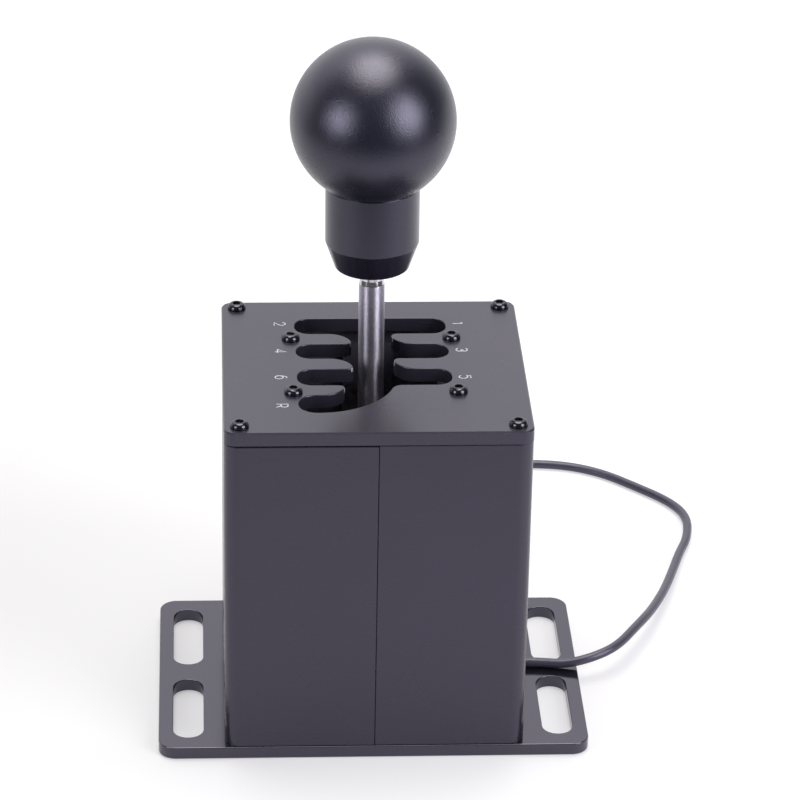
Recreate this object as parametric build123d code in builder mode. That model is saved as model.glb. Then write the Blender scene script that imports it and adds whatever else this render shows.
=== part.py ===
"""Six-speed and reverse H-pattern gear shifter for a driving rig.

A slotted base plate carries a two-part housing and, inside it, two cheek plates.
A gimbal ring swings between the cheeks about X (lane select). The lever hub turns in
the ring about Y (gear select). The gate plate on top guides the lever.

Frame: origin at the centre of the base plate's underside, +Z up,
+X towards gears 1, 3 and 5, +Y towards the lane of gears 1 and 2. Millimetres.
"""
from build123d import *
import math
import os

os.makedirs("parts", exist_ok=True)

# ------------------------------------------------------------------ driving dimensions
# base plate
BASE_X, BASE_Y, BASE_T = 134.0, 91.0, 4.0
BASE_R = 5.5
SLOT_W, SLOT_L = 9.5, 34.5
SLOT_X, SLOT_Y = 57.75, 22.0

# housing
BODY_X, BODY_Y = 93.0, 90.0
BODY_R = 4.5
WALL = 3.5
BODY_TOP = 109.0
LEFT_DROP = 0.3
SEAM = 0.06
POST_X, POST_Y = 41.7, 40.5

# gate plate
LID_T = 4.5
LID_TOP = BODY_TOP + LID_T
LID_R = 3.5
LANE_END = 23.7
LANE12_FAR = 32.55
LANE34_FAR = 14.45
LANE56_FAR = -2.8
LANE56_NEAR = -13.45
REV_FAR, REV_NEAR = -20.1, -31.6
TONGUE_R = 7.5
TONGUE_X = 13.5
INNER_X, INNER_Y = 25.1, 18.4

# M3 fasteners
M3 = 1.5
M3_HOLE = 1.55
BUTTON_R, BUTTON_H = 2.85, 1.65
HEX2 = 1.155

# mechanism
PY, PZ = 9.6, 42.0
CHEEK_X, CHEEK_T = 21.1, 8.0
CHEEK_TOP = 54.0
RING_X, RING_Y, RING_H = 16.0, 15.0, 6.0
PIN_R = 3.0
BUSH_BORE = 3.04
LEAN = 0.3

# lever and knob, measured along the lever from its pivot
SHAFT_R = 4.0
SHAFT_TOP = 97.9
NECK_TOP = 116.0
COLLAR_R = 14.4
COLLAR_BOTTOM, COLLAR_CONE, COLLAR_TOP = 101.15, 109.65, 128.3
CONE_R = 11.47
BALL_R = 25.2
BALL_Z = 149.0

# lead
LEAD_R = 1.5
EXIT_Y, EXIT_Z = 1.3, 5.8
COIL_X, COIL_Y = 14.0, 120.0

LEFT_RIGHT = (-1, 1)
CORNERS = [(x, y) for x in (-POST_X, POST_X) for y in (-POST_Y, POST_Y)]
INNERS = [(x, y) for x in (-INNER_X, INNER_X) for y in (-INNER_Y, INNER_Y)]
CHEEK_SCREWS = [(x, y) for x in (-INNER_X, INNER_X) for y in (-16.0, 22.0)]

pivot = Vector(0, PY, PZ)
lean = math.radians(LEAN)
lever_dir = Vector(-math.sin(lean), 0, math.cos(lean))
lever_x = Vector(math.cos(lean), 0, math.sin(lean))
LEVER = Plane(origin=pivot, x_dir=lever_x, z_dir=lever_dir)
LEVER_SIDE = Plane(origin=pivot, x_dir=lever_x, z_dir=(0, -1, 0))
LEVER_AXIS = Axis(pivot, lever_dir)
PIVOT_Y = Plane.XZ.offset(-PY)

# ------------------------------------------------------------------ base plate
with BuildPart() as base_plate:
    with BuildSketch():
        RectangleRounded(BASE_X, BASE_Y, BASE_R)
        with GridLocations(2 * SLOT_X, 2 * SLOT_Y, 2, 2):
            SlotOverall(SLOT_L, SLOT_W, rotation=90, mode=Mode.SUBTRACT)
    extrude(amount=BASE_T)
    chamfer(base_plate.faces().sort_by(Axis.Z)[-1].outer_wire().edges(), 0.4)
    chamfer(base_plate.faces().sort_by(Axis.Z)[0].outer_wire().edges(), 0.3)
    with Locations(*[Location((x, y, 0), (180, 0, 0)) for x, y in CORNERS + CHEEK_SCREWS]):
        CounterSinkHole(radius=1.6, counter_sink_radius=3.1, counter_sink_angle=90)
base_plate.part.label = "base_plate"
export_step(base_plate.part, "parts/base_plate.step")

with BuildPart() as base_screws:
    with BuildSketch(Plane.XY.offset(0.1)):
        with Locations(*(CORNERS + CHEEK_SCREWS)):
            Circle(2.9)
    extrude(amount=1.4, taper=45)
    with BuildSketch(Plane.XY.offset(1.5)):
        with Locations(*(CORNERS + CHEEK_SCREWS)):
            Circle(M3)
    extrude(amount=10.0)
    with BuildSketch(Plane.XY.offset(0.1)):
        with Locations(*(CORNERS + CHEEK_SCREWS)):
            RegularPolygon(HEX2, 6)
    extrude(amount=1.2, mode=Mode.SUBTRACT)
base_screws.part.label = "base_screws"
export_step(base_screws.part, "parts/base_screws.step")

# ------------------------------------------------------------------ housing halves
with BuildPart() as housing_left:
    with BuildSketch(Plane.XY.offset(BASE_T)):
        RectangleRounded(BODY_X, BODY_Y, BODY_R)
        RectangleRounded(BODY_X - 2 * WALL, BODY_Y - 2 * WALL, 1.5, mode=Mode.SUBTRACT)
        with GridLocations(81.5, 79.0, 2, 2):
            Rectangle(7.5, 7.0)
        with Locations((30 - SEAM, 0)):
            Rectangle(60, 100, mode=Mode.SUBTRACT)
    extrude(amount=BODY_TOP - LEFT_DROP - BASE_T)
    chamfer(
        housing_left.edges()
        .filter_by(Axis.Z)
        .filter_by(lambda e: abs(e.center().X + SEAM) < 0.01 and abs(e.center().Y) > BODY_Y / 2 - 0.1),
        0.25,
    )
    with BuildSketch(Plane.XY.offset(BASE_T)):
        with Locations((-POST_X, -POST_Y), (-POST_X, POST_Y)):
            Circle(M3_HOLE)
    extrude(amount=9.0, mode=Mode.SUBTRACT)
    with BuildSketch(Plane.XY.offset(BODY_TOP)):
        with Locations((-POST_X, -POST_Y), (-POST_X, POST_Y)):
            Circle(M3_HOLE)
    extrude(amount=-10.0, mode=Mode.SUBTRACT)
    with BuildSketch(Plane.XZ):
        with Locations((-4.5, 30), (-4.5, 85)):
            Circle(M3_HOLE)
    extrude(amount=44.4, both=True, mode=Mode.SUBTRACT)
housing_left.part.label = "housing_left"
export_step(housing_left.part, "parts/housing_left.step")

with BuildPart() as housing_right:
    with BuildSketch(Plane.XY.offset(BASE_T)):
        RectangleRounded(BODY_X, BODY_Y, BODY_R)
        RectangleRounded(BODY_X - 2 * WALL, BODY_Y - 2 * WALL, 1.5, mode=Mode.SUBTRACT)
        with GridLocations(81.5, 79.0, 2, 2):
            Rectangle(7.5, 7.0)
        with Locations((-30 + SEAM, 0)):
            Rectangle(60, 100, mode=Mode.SUBTRACT)
    extrude(amount=BODY_TOP - BASE_T)
    chamfer(
        housing_right.edges()
        .filter_by(Axis.Z)
        .filter_by(lambda e: abs(e.center().X - SEAM) < 0.01 and abs(e.center().Y) > BODY_Y / 2 - 0.1),
        0.25,
    )
    with BuildSketch(Plane.XY.offset(BASE_T)):
        with Locations((POST_X, -POST_Y), (POST_X, POST_Y)):
            Circle(M3_HOLE)
    extrude(amount=9.0, mode=Mode.SUBTRACT)
    with BuildSketch(Plane.XY.offset(BODY_TOP)):
        with Locations((POST_X, -POST_Y), (POST_X, POST_Y)):
            Circle(M3_HOLE)
    extrude(amount=-10.0, mode=Mode.SUBTRACT)
    with BuildSketch(Plane.XZ):
        with Locations((4.5, 30), (4.5, 85)):
            Circle(M3_HOLE)
    extrude(amount=44.4, both=True, mode=Mode.SUBTRACT)
    # arched notch in the lower edge for the lead's grommet
    with BuildSketch(Plane.YZ.offset(40)):
        with Locations((EXIT_Y, EXIT_Z)):
            Circle(2.55)
        with Locations((EXIT_Y, EXIT_Z / 2)):
            Rectangle(5.1, EXIT_Z)
    extrude(amount=10, mode=Mode.SUBTRACT)
housing_right.part.label = "housing_right"
export_step(housing_right.part, "parts/housing_right.step")

# bars that join the halves behind the front and back seams
with BuildPart() as seam_strips:
    with BuildSketch(Plane.XY.offset(12)):
        with Locations((0, -40.0), (0, 40.0)):
            Rectangle(16, 3.0)
    extrude(amount=90)
    with BuildSketch(Plane.XZ):
        with Locations((-4.5, 30), (4.5, 30), (-4.5, 85), (4.5, 85)):
            Circle(1.6)
    extrude(amount=50, both=True, mode=Mode.SUBTRACT)
seam_strips.part.label = "seam_strips"
export_step(seam_strips.part, "parts/seam_strips.step")

with BuildPart() as seam_strip_screws:
    for side in LEFT_RIGHT:
        # heads on the inside, shanks out into the walls
        with BuildSketch(Plane.XZ.offset(-side * 38.5)):
            with Locations((-4.5, 30), (4.5, 30), (-4.5, 85), (4.5, 85)):
                Circle(BUTTON_R)
        extrude(amount=side * BUTTON_H)
        with BuildSketch(Plane.XZ.offset(-side * 38.5)):
            with Locations((-4.5, 30), (4.5, 30), (-4.5, 85), (4.5, 85)):
                Circle(M3)
        extrude(amount=-side * 5.5)
        with BuildSketch(Plane.XZ.offset(-side * (38.5 - BUTTON_H))):
            with Locations((-4.5, 30), (4.5, 30), (-4.5, 85), (4.5, 85)):
                RegularPolygon(HEX2, 6)
        extrude(amount=-side * 1.0, mode=Mode.SUBTRACT)
seam_strip_screws.part.label = "seam_strip_screws"
export_step(seam_strip_screws.part, "parts/seam_strip_screws.step")

# ------------------------------------------------------------------ gate plate
lane34_near = LANE56_FAR + TONGUE_R
lane12_near = LANE34_FAR + TONGUE_R
rev_c = (-16.3, -12.6)
big_c, big_r = (-17.5, -7.7), 23.9
rev_tip_x = rev_c[0] + math.sqrt(TONGUE_R**2 - (LANE56_NEAR - rev_c[1]) ** 2)
big_end_x = big_c[0] + math.sqrt(big_r**2 - (LANE56_NEAR - big_c[1]) ** 2)


def on_circle(centre, radius, degrees):
    a = math.radians(degrees)
    return (centre[0] + radius * math.cos(a), centre[1] + radius * math.sin(a))


with BuildPart() as gate_plate:
    with BuildSketch(Plane.XY.offset(BODY_TOP)):
        RectangleRounded(BODY_X, BODY_Y, LID_R)
        with Locations(*(CORNERS + INNERS)):
            Circle(1.6, mode=Mode.SUBTRACT)
    extrude(amount=LID_T)
    chamfer(gate_plate.faces().sort_by(Axis.Z)[-1].outer_wire().edges(), 0.6)
    with BuildSketch(Plane.XY.offset(BODY_TOP)) as gate:
        with BuildLine():
            E = LANE_END
            # left side, from the back lane to the front
            Polyline((-E, LANE12_FAR), (-E, lane12_near), (-TONGUE_X, lane12_near))
            ThreePointArc(
                (-TONGUE_X, lane12_near),
                on_circle((-TONGUE_X, LANE34_FAR), TONGUE_R, 45),
                (-TONGUE_X + TONGUE_R, LANE34_FAR),
            )
            Polyline(
                (-TONGUE_X + TONGUE_R, LANE34_FAR), (-E, LANE34_FAR), (-E, lane34_near), (-TONGUE_X, lane34_near)
            )
            ThreePointArc(
                (-TONGUE_X, lane34_near),
                on_circle((-TONGUE_X, LANE56_FAR), TONGUE_R, 45),
                (-TONGUE_X + TONGUE_R, LANE56_FAR),
            )
            Polyline(
                (-TONGUE_X + TONGUE_R, LANE56_FAR), (-E, LANE56_FAR), (-E, LANE56_NEAR), (rev_tip_x, LANE56_NEAR)
            )
            ThreePointArc((rev_tip_x, LANE56_NEAR), on_circle(rev_c, TONGUE_R, -50), (rev_c[0], REV_FAR))
            Polyline((rev_c[0], REV_FAR), (-E, REV_FAR), (-E, REV_NEAR), (big_c[0], REV_NEAR))
            # sweep from reverse up to lane 5
            ThreePointArc((big_c[0], REV_NEAR), on_circle(big_c, big_r, -50), (big_end_x, LANE56_NEAR))
            Polyline(
                (big_end_x, LANE56_NEAR), (E, LANE56_NEAR), (E, LANE56_FAR), (TONGUE_X, LANE56_FAR)
            )
            ThreePointArc(
                (TONGUE_X, LANE56_FAR),
                on_circle((TONGUE_X, lane34_near), TONGUE_R, 225),
                (TONGUE_X - TONGUE_R, lane34_near),
            )
            Polyline(
                (TONGUE_X - TONGUE_R, lane34_near), (E, lane34_near), (E, LANE34_FAR), (TONGUE_X, LANE34_FAR)
            )
            ThreePointArc(
                (TONGUE_X, LANE34_FAR),
                on_circle((TONGUE_X, lane12_near), TONGUE_R, 225),
                (TONGUE_X - TONGUE_R, lane12_near),
            )
            Polyline(
                (TONGUE_X - TONGUE_R, lane12_near), (E, lane12_near), (E, LANE12_FAR), (-E, LANE12_FAR)
            )
        make_face()
        ends = gate.vertices().filter_by(lambda v: abs(abs(v.X) - LANE_END) < 0.01)
        fillet(ends.filter_by(lambda v: v.Y > REV_FAR + 1), 4.7)
        fillet(
            gate.vertices().filter_by(lambda v: abs(v.X + LANE_END) < 0.01 and v.Y < REV_FAR + 1),
            5.5,
        )
        fillet(
            gate.vertices().filter_by(
                lambda v: min(
                    math.hypot(abs(v.X) - (TONGUE_X - TONGUE_R), v.Y - y)
                    for y in (LANE34_FAR, LANE56_FAR, lane34_near, lane12_near)
                )
                < 0.01
                or math.hypot(v.X - rev_tip_x, v.Y - LANE56_NEAR) < 0.01
            ),
            0.8,
        )
        fillet(gate.vertices().filter_by(lambda v: math.hypot(v.X - big_end_x, v.Y - LANE56_NEAR) < 0.01), 3.0)
    extrude(amount=LID_T, mode=Mode.SUBTRACT)
    # broken edge around the gate, and a shallow seat for the housing joint
    top = gate_plate.faces().sort_by(Axis.Z)[-1]
    gate_wire = top.inner_wires().sort_by(lambda w: w.length)[-1]
    chamfer(gate_wire.edges(), 0.25)
gate_plate.part.label = "gate_plate"
export_step(gate_plate.part, "parts/gate_plate.step")

with BuildPart() as gate_corner_screws:
    with BuildSketch(Plane.XY.offset(LID_TOP)):
        with Locations(*CORNERS):
            Circle(BUTTON_R)
    extrude(amount=BUTTON_H)
    fillet(gate_corner_screws.faces().filter_by(Axis.Z).group_by(Axis.Z)[-1].edges(), 1.3)
    with BuildSketch(Plane.XY.offset(LID_TOP + BUTTON_H)):
        with Locations(*CORNERS):
            RegularPolygon(HEX2, 6)
    extrude(amount=-1.1, mode=Mode.SUBTRACT)
    with BuildSketch(Plane.XY.offset(LID_TOP)):
        with Locations(*CORNERS):
            Circle(M3)
    extrude(amount=-12)
gate_corner_screws.part.label = "gate_corner_screws"
export_step(gate_corner_screws.part, "parts/gate_corner_screws.step")

with BuildPart() as gate_inner_screws:
    with BuildSketch(Plane.XY.offset(LID_TOP)):
        with Locations(*INNERS):
            Circle(BUTTON_R)
    extrude(amount=BUTTON_H)
    fillet(gate_inner_screws.faces().filter_by(Axis.Z).group_by(Axis.Z)[-1].edges(), 1.3)
    with BuildSketch(Plane.XY.offset(LID_TOP + BUTTON_H)):
        with Locations(*INNERS):
            RegularPolygon(HEX2, 6)
    extrude(amount=-1.1, mode=Mode.SUBTRACT)
    with BuildSketch(Plane.XY.offset(LID_TOP)):
        with Locations(*INNERS):
            Circle(M3)
    extrude(amount=-12)
gate_inner_screws.part.label = "gate_inner_screws"
export_step(gate_inner_screws.part, "parts/gate_inner_screws.step")

# hexagon pillars from the cheeks up to the gate plate
with BuildPart() as gate_pillars:
    with BuildSketch(Plane.XY.offset(CHEEK_TOP)):
        with Locations(*INNERS):
            RegularPolygon(7.0 / math.sqrt(3), 6)
            Circle(M3_HOLE, mode=Mode.SUBTRACT)
    extrude(amount=10)
    with BuildSketch(Plane.XY.offset(CHEEK_TOP + 10)):
        with Locations(*INNERS):
            RegularPolygon(7.0 / math.sqrt(3), 6)
    extrude(amount=BODY_TOP - CHEEK_TOP - 20)
    with BuildSketch(Plane.XY.offset(BODY_TOP - 10)):
        with Locations(*INNERS):
            RegularPolygon(7.0 / math.sqrt(3), 6)
            Circle(M3_HOLE, mode=Mode.SUBTRACT)
    extrude(amount=10)
gate_pillars.part.label = "gate_pillars"
export_step(gate_pillars.part, "parts/gate_pillars.step")

with BuildPart() as pillar_studs:
    with BuildSketch(Plane.XY.offset(CHEEK_TOP - 8)):
        with Locations(*INNERS):
            Circle(M3)
    extrude(amount=16)
pillar_studs.part.label = "pillar_studs"
export_step(pillar_studs.part, "parts/pillar_studs.step")

# ------------------------------------------------------------------ cheek plates
with BuildPart() as cheek_left:
    with BuildSketch(Plane.YZ.offset(-CHEEK_X - CHEEK_T)):
        with Locations((2, (CHEEK_TOP + BASE_T) / 2)):
            Rectangle(52, CHEEK_TOP - BASE_T)
        with Locations((-6, 23)):
            RectangleRounded(16, 22, 3, mode=Mode.SUBTRACT)
        with Locations((PY, PZ)):
            Circle(4.0, mode=Mode.SUBTRACT)
    extrude(amount=CHEEK_T)
    with BuildSketch(Plane.YZ.offset(-CHEEK_X)):
        with Locations((PY, PZ)):
            Circle(5.02)
    extrude(amount=-6.0, mode=Mode.SUBTRACT)
    # fixed tab that the centring spring's legs close on
    with BuildSketch(Plane.YZ.offset(-CHEEK_X)):
        with Locations((PY, 24)):
            Rectangle(8.6, 4)
    extrude(amount=4.1)
    with BuildSketch(Plane.XY.offset(BASE_T)):
        with Locations((-INNER_X, -16.0), (-INNER_X, 22.0)):
            Circle(M3_HOLE)
    extrude(amount=9, mode=Mode.SUBTRACT)
    with BuildSketch(Plane.XY.offset(CHEEK_TOP)):
        with Locations((-INNER_X, -INNER_Y), (-INNER_X, INNER_Y)):
            Circle(M3_HOLE)
    extrude(amount=-9, mode=Mode.SUBTRACT)
    with BuildSketch(Plane.YZ.offset(-CHEEK_X - CHEEK_T)):
        with Locations((PY + 6.5, PZ - 6.5), (PY - 6.5, PZ + 6.5)):
            Circle(1.05)
    extrude(amount=1.8, mode=Mode.SUBTRACT)
cheek_left.part.label = "cheek_left"
export_step(cheek_left.part, "parts/cheek_left.step")

BOARD_HOLES = [(-19.0, 17.0), (17.0, 17.0), (-19.0, 40.0), (17.0, 38.0)]
with BuildPart() as cheek_right:
    with BuildSketch(Plane.YZ.offset(CHEEK_X)):
        with Locations((2, (CHEEK_TOP + BASE_T) / 2)):
            Rectangle(52, CHEEK_TOP - BASE_T)
        with Locations((-6, 23)):
            RectangleRounded(16, 22, 3, mode=Mode.SUBTRACT)
        with Locations((PY, PZ)):
            Circle(4.0, mode=Mode.SUBTRACT)
    extrude(amount=CHEEK_T)
    with BuildSketch(Plane.YZ.offset(CHEEK_X)):
        with Locations((PY, PZ)):
            Circle(5.02)
    extrude(amount=6.0, mode=Mode.SUBTRACT)
    with BuildSketch(Plane.YZ.offset(CHEEK_X)):
        with Locations((PY, 24)):
            Rectangle(8.6, 4)
    extrude(amount=-4.1)
    with BuildSketch(Plane.XY.offset(BASE_T)):
        with Locations((INNER_X, -16.0), (INNER_X, 22.0)):
            Circle(M3_HOLE)
    extrude(amount=9, mode=Mode.SUBTRACT)
    with BuildSketch(Plane.XY.offset(CHEEK_TOP)):
        with Locations((INNER_X, -INNER_Y), (INNER_X, INNER_Y)):
            Circle(M3_HOLE)
    extrude(amount=-9, mode=Mode.SUBTRACT)
    with BuildSketch(Plane.YZ.offset(CHEEK_X + CHEEK_T)):
        with Locations(*BOARD_HOLES):
            Circle(1.05)
    extrude(amount=-3.0, mode=Mode.SUBTRACT)
cheek_right.part.label = "cheek_right"
export_step(cheek_right.part, "parts/cheek_right.step")

# flanged bushes that the ring's pins turn in
with BuildPart() as pivot_bushes:
    for side in LEFT_RIGHT:
        with BuildSketch(Plane.YZ.offset(side * CHEEK_X)):
            with Locations((PY, PZ)):
                Circle(5.0)
                Circle(BUSH_BORE, mode=Mode.SUBTRACT)
        extrude(amount=side * 6.0)
        with BuildSketch(Plane.YZ.offset(side * CHEEK_X)):
            with Locations((PY, PZ)):
                Circle(6.5)
                Circle(BUSH_BORE, mode=Mode.SUBTRACT)
        extrude(amount=-side * 1.2)
pivot_bushes.part.label = "pivot_bushes"
export_step(pivot_bushes.part, "parts/pivot_bushes.step")

# ------------------------------------------------------------------ gimbal ring
with BuildPart() as gimbal_ring:
    with BuildSketch(Plane.XY.offset(PZ - RING_H)):
        with Locations((0, PY)):
            RectangleRounded(2 * RING_X, 2 * RING_Y, 2.0)
            Rectangle(20, 18, mode=Mode.SUBTRACT)
    extrude(amount=2 * RING_H)
    with BuildSketch(Plane.YZ):
        with Locations((PY, PZ)):
            Circle(PIN_R + 0.02)
    extrude(amount=20, both=True, mode=Mode.SUBTRACT)
    with BuildSketch(PIVOT_Y):
        with Locations((0, PZ)):
            Circle(4.52)
    extrude(amount=20, both=True, mode=Mode.SUBTRACT)
    with BuildSketch(Plane.XY.offset(PZ + RING_H)):
        with Locations(*[(x, PY + y) for x in (-12, 12) for y in (-12, 12)]):
            Circle(1.6)
    extrude(amount=-2 * RING_H, mode=Mode.SUBTRACT)
    with BuildSketch(Plane.XZ.offset(-(PY - RING_Y))):
        with Locations((-8, PZ), (8, PZ)):
            Circle(1.05)
    extrude(amount=-3.2, mode=Mode.SUBTRACT)
gimbal_ring.part.label = "gimbal_ring"
export_step(gimbal_ring.part, "parts/gimbal_ring.step")

with BuildPart() as ring_pivot_pins:
    for side in LEFT_RIGHT:
        with BuildSketch(Plane.YZ.offset(side * 10.5)):
            with Locations((PY, PZ)):
                Circle(PIN_R)
        extrude(amount=side * 17.0)
ring_pivot_pins.part.label = "ring_pivot_pins"
export_step(ring_pivot_pins.part, "parts/ring_pivot_pins.step")

with BuildPart() as gear_axle_bushes:
    for side in LEFT_RIGHT:
        with BuildSketch(Plane.XZ.offset(-(PY + side * 9.0))):
            with Locations((0, PZ)):
                Circle(4.5)
                Circle(BUSH_BORE, mode=Mode.SUBTRACT)
        extrude(amount=-side * 6.0)
        with BuildSketch(Plane.XZ.offset(-(PY + side * 9.0))):
            with Locations((0, PZ)):
                Circle(5.6)
                Circle(BUSH_BORE, mode=Mode.SUBTRACT)
        extrude(amount=side * 0.8)
gear_axle_bushes.part.label = "gear_axle_bushes"
export_step(gear_axle_bushes.part, "parts/gear_axle_bushes.step")

# stirrup under the ring that carries the detent spring
with BuildPart() as detent_bracket:
    with BuildSketch(PIVOT_Y):
        with Locations((0, 24.5)):
            Rectangle(2 * RING_X, 23)
    extrude(amount=RING_Y, both=True)
    with BuildSketch(PIVOT_Y):
        with Locations((0, 27)):
            Rectangle(40, 20)
    extrude(amount=9.0, both=True, mode=Mode.SUBTRACT)
    # end tabs that push the centring springs' legs
    with BuildSketch(Plane.YZ):
        with Locations((PY, 15)):
            Rectangle(8.6, 4)
    extrude(amount=19.4, both=True)
    with BuildSketch(Plane.XY.offset(PZ - RING_H)):
        with Locations(*[(x, PY + y) for x in (-12, 12) for y in (-12, 12)]):
            Circle(M3_HOLE)
    extrude(amount=-9.0, mode=Mode.SUBTRACT)
    with BuildSketch(Plane.XY.offset(17)):
        with Locations((-12.2, PY), (12.2, PY)):
            Circle(1.05)
    extrude(amount=-3.4, mode=Mode.SUBTRACT)
detent_bracket.part.label = "detent_bracket"
export_step(detent_bracket.part, "parts/detent_bracket.step")

with BuildPart() as bracket_screws:
    with BuildSketch(Plane.XY.offset(PZ + RING_H)):
        with Locations(*[(x, PY + y) for x in (-12, 12) for y in (-12, 12)]):
            Circle(2.75)
    extrude(amount=3.0)
    with BuildSketch(Plane.XY.offset(PZ + RING_H)):
        with Locations(*[(x, PY + y) for x in (-12, 12) for y in (-12, 12)]):
            Circle(M3)
    extrude(amount=-20.0)
    with BuildSketch(Plane.XY.offset(PZ + RING_H + 3.0)):
        with Locations(*[(x, PY + y) for x in (-12, 12) for y in (-12, 12)]):
            RegularPolygon(1.44, 6)
    extrude(amount=-1.5, mode=Mode.SUBTRACT)
bracket_screws.part.label = "bracket_screws"
export_step(bracket_screws.part, "parts/bracket_screws.step")

# wavy leaf with a valley at each of the three gear positions
with BuildPart() as detent_leaf_spring:
    with BuildSketch(PIVOT_Y):
        with BuildLine():
            Polyline(
                (-14.6, 17.3), (-9.6, 17.3), (-7.7, 20.9), (-5.2, 19.9), (-2.6, 20.5),
                (0, 19.25), (2.6, 20.5), (5.2, 19.9), (7.7, 20.9), (9.6, 17.3), (14.6, 17.3),
            )
        trace(line_width=0.5)
    extrude(amount=4.0, both=True)
    with BuildSketch(Plane.XY.offset(16)):
        with Locations((-12.2, PY), (12.2, PY)):
            Circle(1.1)
    extrude(amount=3, mode=Mode.SUBTRACT)
detent_leaf_spring.part.label = "detent_leaf_spring"
export_step(detent_leaf_spring.part, "parts/detent_leaf_spring.step")

with BuildPart() as leaf_screws:
    with BuildSketch(Plane.XY.offset(17.6)):
        with Locations((-12.2, PY), (12.2, PY)):
            Circle(1.9)
    extrude(amount=1.2)
    with BuildSketch(Plane.XY.offset(17.6)):
        with Locations((-12.2, PY), (12.2, PY)):
            Circle(1.0)
    extrude(amount=-3.8)
leaf_screws.part.label = "leaf_screws"
export_step(leaf_screws.part, "parts/leaf_screws.step")

# torsion springs around the pivots: their legs hold the stirrup's tab in line with the cheek's
SPRING_TURNS, SPRING_PITCH, SPRING_R = 1.5, 1.15, 5.0
with BuildPart() as lane_centring_springs:
    for side in LEFT_RIGHT:
        start = side * 17.0
        end = start + side * SPRING_TURNS * SPRING_PITCH
        steps = int(SPRING_TURNS * 12)
        corner_r = SPRING_R / math.cos(math.radians(15))
        wire = [(start, PY - SPRING_R, 12.2)]
        for i in range(steps):
            y, z = on_circle((PY, PZ), corner_r, 165 - 30 * i)
            wire.append((start + (end - start) * (i + 0.5) / steps, y, z))
        wire.append((end, PY + SPRING_R, 12.2))
        with BuildLine() as turns:
            FilletPolyline(*wire, radius=4.6)
        with BuildSketch(Plane(origin=turns.line @ 0, z_dir=turns.line % 0)):
            Circle(0.5)
        sweep(path=turns.line)
lane_centring_springs.part.label = "lane_centring_springs"
export_step(lane_centring_springs.part, "parts/lane_centring_springs.step")

# ------------------------------------------------------------------ lane sensor, on the left cheek
with BuildPart() as lane_magnet:
    with BuildSketch(Plane.YZ.offset(-27.55)):
        with Locations((PY, PZ)):
            Circle(2.5)
    extrude(amount=-2.0)
lane_magnet.part.label = "lane_magnet"
export_step(lane_magnet.part, "parts/lane_magnet.step")

with BuildPart() as lane_sensor_board:
    with BuildSketch(Plane.YZ.offset(-31.5)):
        with Locations((PY, PZ)):
            RectangleRounded(18, 18, 1)
        with Locations((PY + 6.5, PZ - 6.5), (PY - 6.5, PZ + 6.5)):
            Circle(1.1, mode=Mode.SUBTRACT)
    extrude(amount=-1.6)
lane_sensor_board.part.label = "lane_sensor_board"
export_step(lane_sensor_board.part, "parts/lane_sensor_board.step")

with BuildPart() as lane_sensor_chip:
    with BuildSketch(Plane.YZ.offset(-31.48)):
        with Locations((PY, PZ)):
            Rectangle(5, 4)
    extrude(amount=1.0)
lane_sensor_chip.part.label = "lane_sensor_chip"
export_step(lane_sensor_chip.part, "parts/lane_sensor_chip.step")

with BuildPart() as lane_sensor_screws:
    # spacer collar, shank and head of each screw
    for y, z in ((PY + 6.5, PZ - 6.5), (PY - 6.5, PZ + 6.5)):
        with BuildSketch(Plane.YZ.offset(-33.12)):
            with Locations((y, z)):
                Circle(1.9)
        extrude(amount=-1.3)
        with BuildSketch(Plane.YZ.offset(-33.2)):
            with Locations((y, z)):
                Circle(1.0)
        extrude(amount=5.8)
lane_sensor_screws.part.label = "lane_sensor_screws"
export_step(lane_sensor_screws.part, "parts/lane_sensor_screws.step")

with BuildPart() as lane_sensor_spacers:
    with BuildSketch(Plane.YZ.offset(-31.5)):
        with Locations((PY + 6.5, PZ - 6.5), (PY - 6.5, PZ + 6.5)):
            Circle(2.0)
            Circle(1.1, mode=Mode.SUBTRACT)
    extrude(amount=2.4)
lane_sensor_spacers.part.label = "lane_sensor_spacers"
export_step(lane_sensor_spacers.part, "parts/lane_sensor_spacers.step")

# ------------------------------------------------------------------ gear sensor, on the ring
ring_front = PY - RING_Y
with BuildPart() as gear_sensor_board:
    with BuildSketch(Plane.XZ.offset(-(ring_front - 4.4))):
        with Locations((0, PZ)):
            RectangleRounded(21, 12, 1)
        with Locations((-8, PZ), (8, PZ)):
            Circle(1.1, mode=Mode.SUBTRACT)
    extrude(amount=1.6)
gear_sensor_board.part.label = "gear_sensor_board"
export_step(gear_sensor_board.part, "parts/gear_sensor_board.step")

with BuildPart() as gear_sensor_chip:
    with BuildSketch(Plane.XZ.offset(-(ring_front - 4.4))):
        with Locations((0, PZ)):
            Rectangle(5, 4)
    extrude(amount=-1.0)
gear_sensor_chip.part.label = "gear_sensor_chip"
export_step(gear_sensor_chip.part, "parts/gear_sensor_chip.step")

with BuildPart() as gear_sensor_spacers:
    with BuildSketch(Plane.XZ.offset(-ring_front)):
        with Locations((-8, PZ), (8, PZ)):
            Circle(2.0)
            Circle(1.1, mode=Mode.SUBTRACT)
    extrude(amount=4.4)
gear_sensor_spacers.part.label = "gear_sensor_spacers"
export_step(gear_sensor_spacers.part, "parts/gear_sensor_spacers.step")

with BuildPart() as gear_sensor_screws:
    with BuildSketch(Plane.XZ.offset(-(ring_front - 6.02))):
        with Locations((-8, PZ), (8, PZ)):
            Circle(1.9)
    extrude(amount=1.3)
    with BuildSketch(Plane.XZ.offset(-(ring_front - 6.02))):
        with Locations((-8, PZ), (8, PZ)):
            Circle(1.0)
    extrude(amount=-8.9)
gear_sensor_screws.part.label = "gear_sensor_screws"
export_step(gear_sensor_screws.part, "parts/gear_sensor_screws.step")

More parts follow.
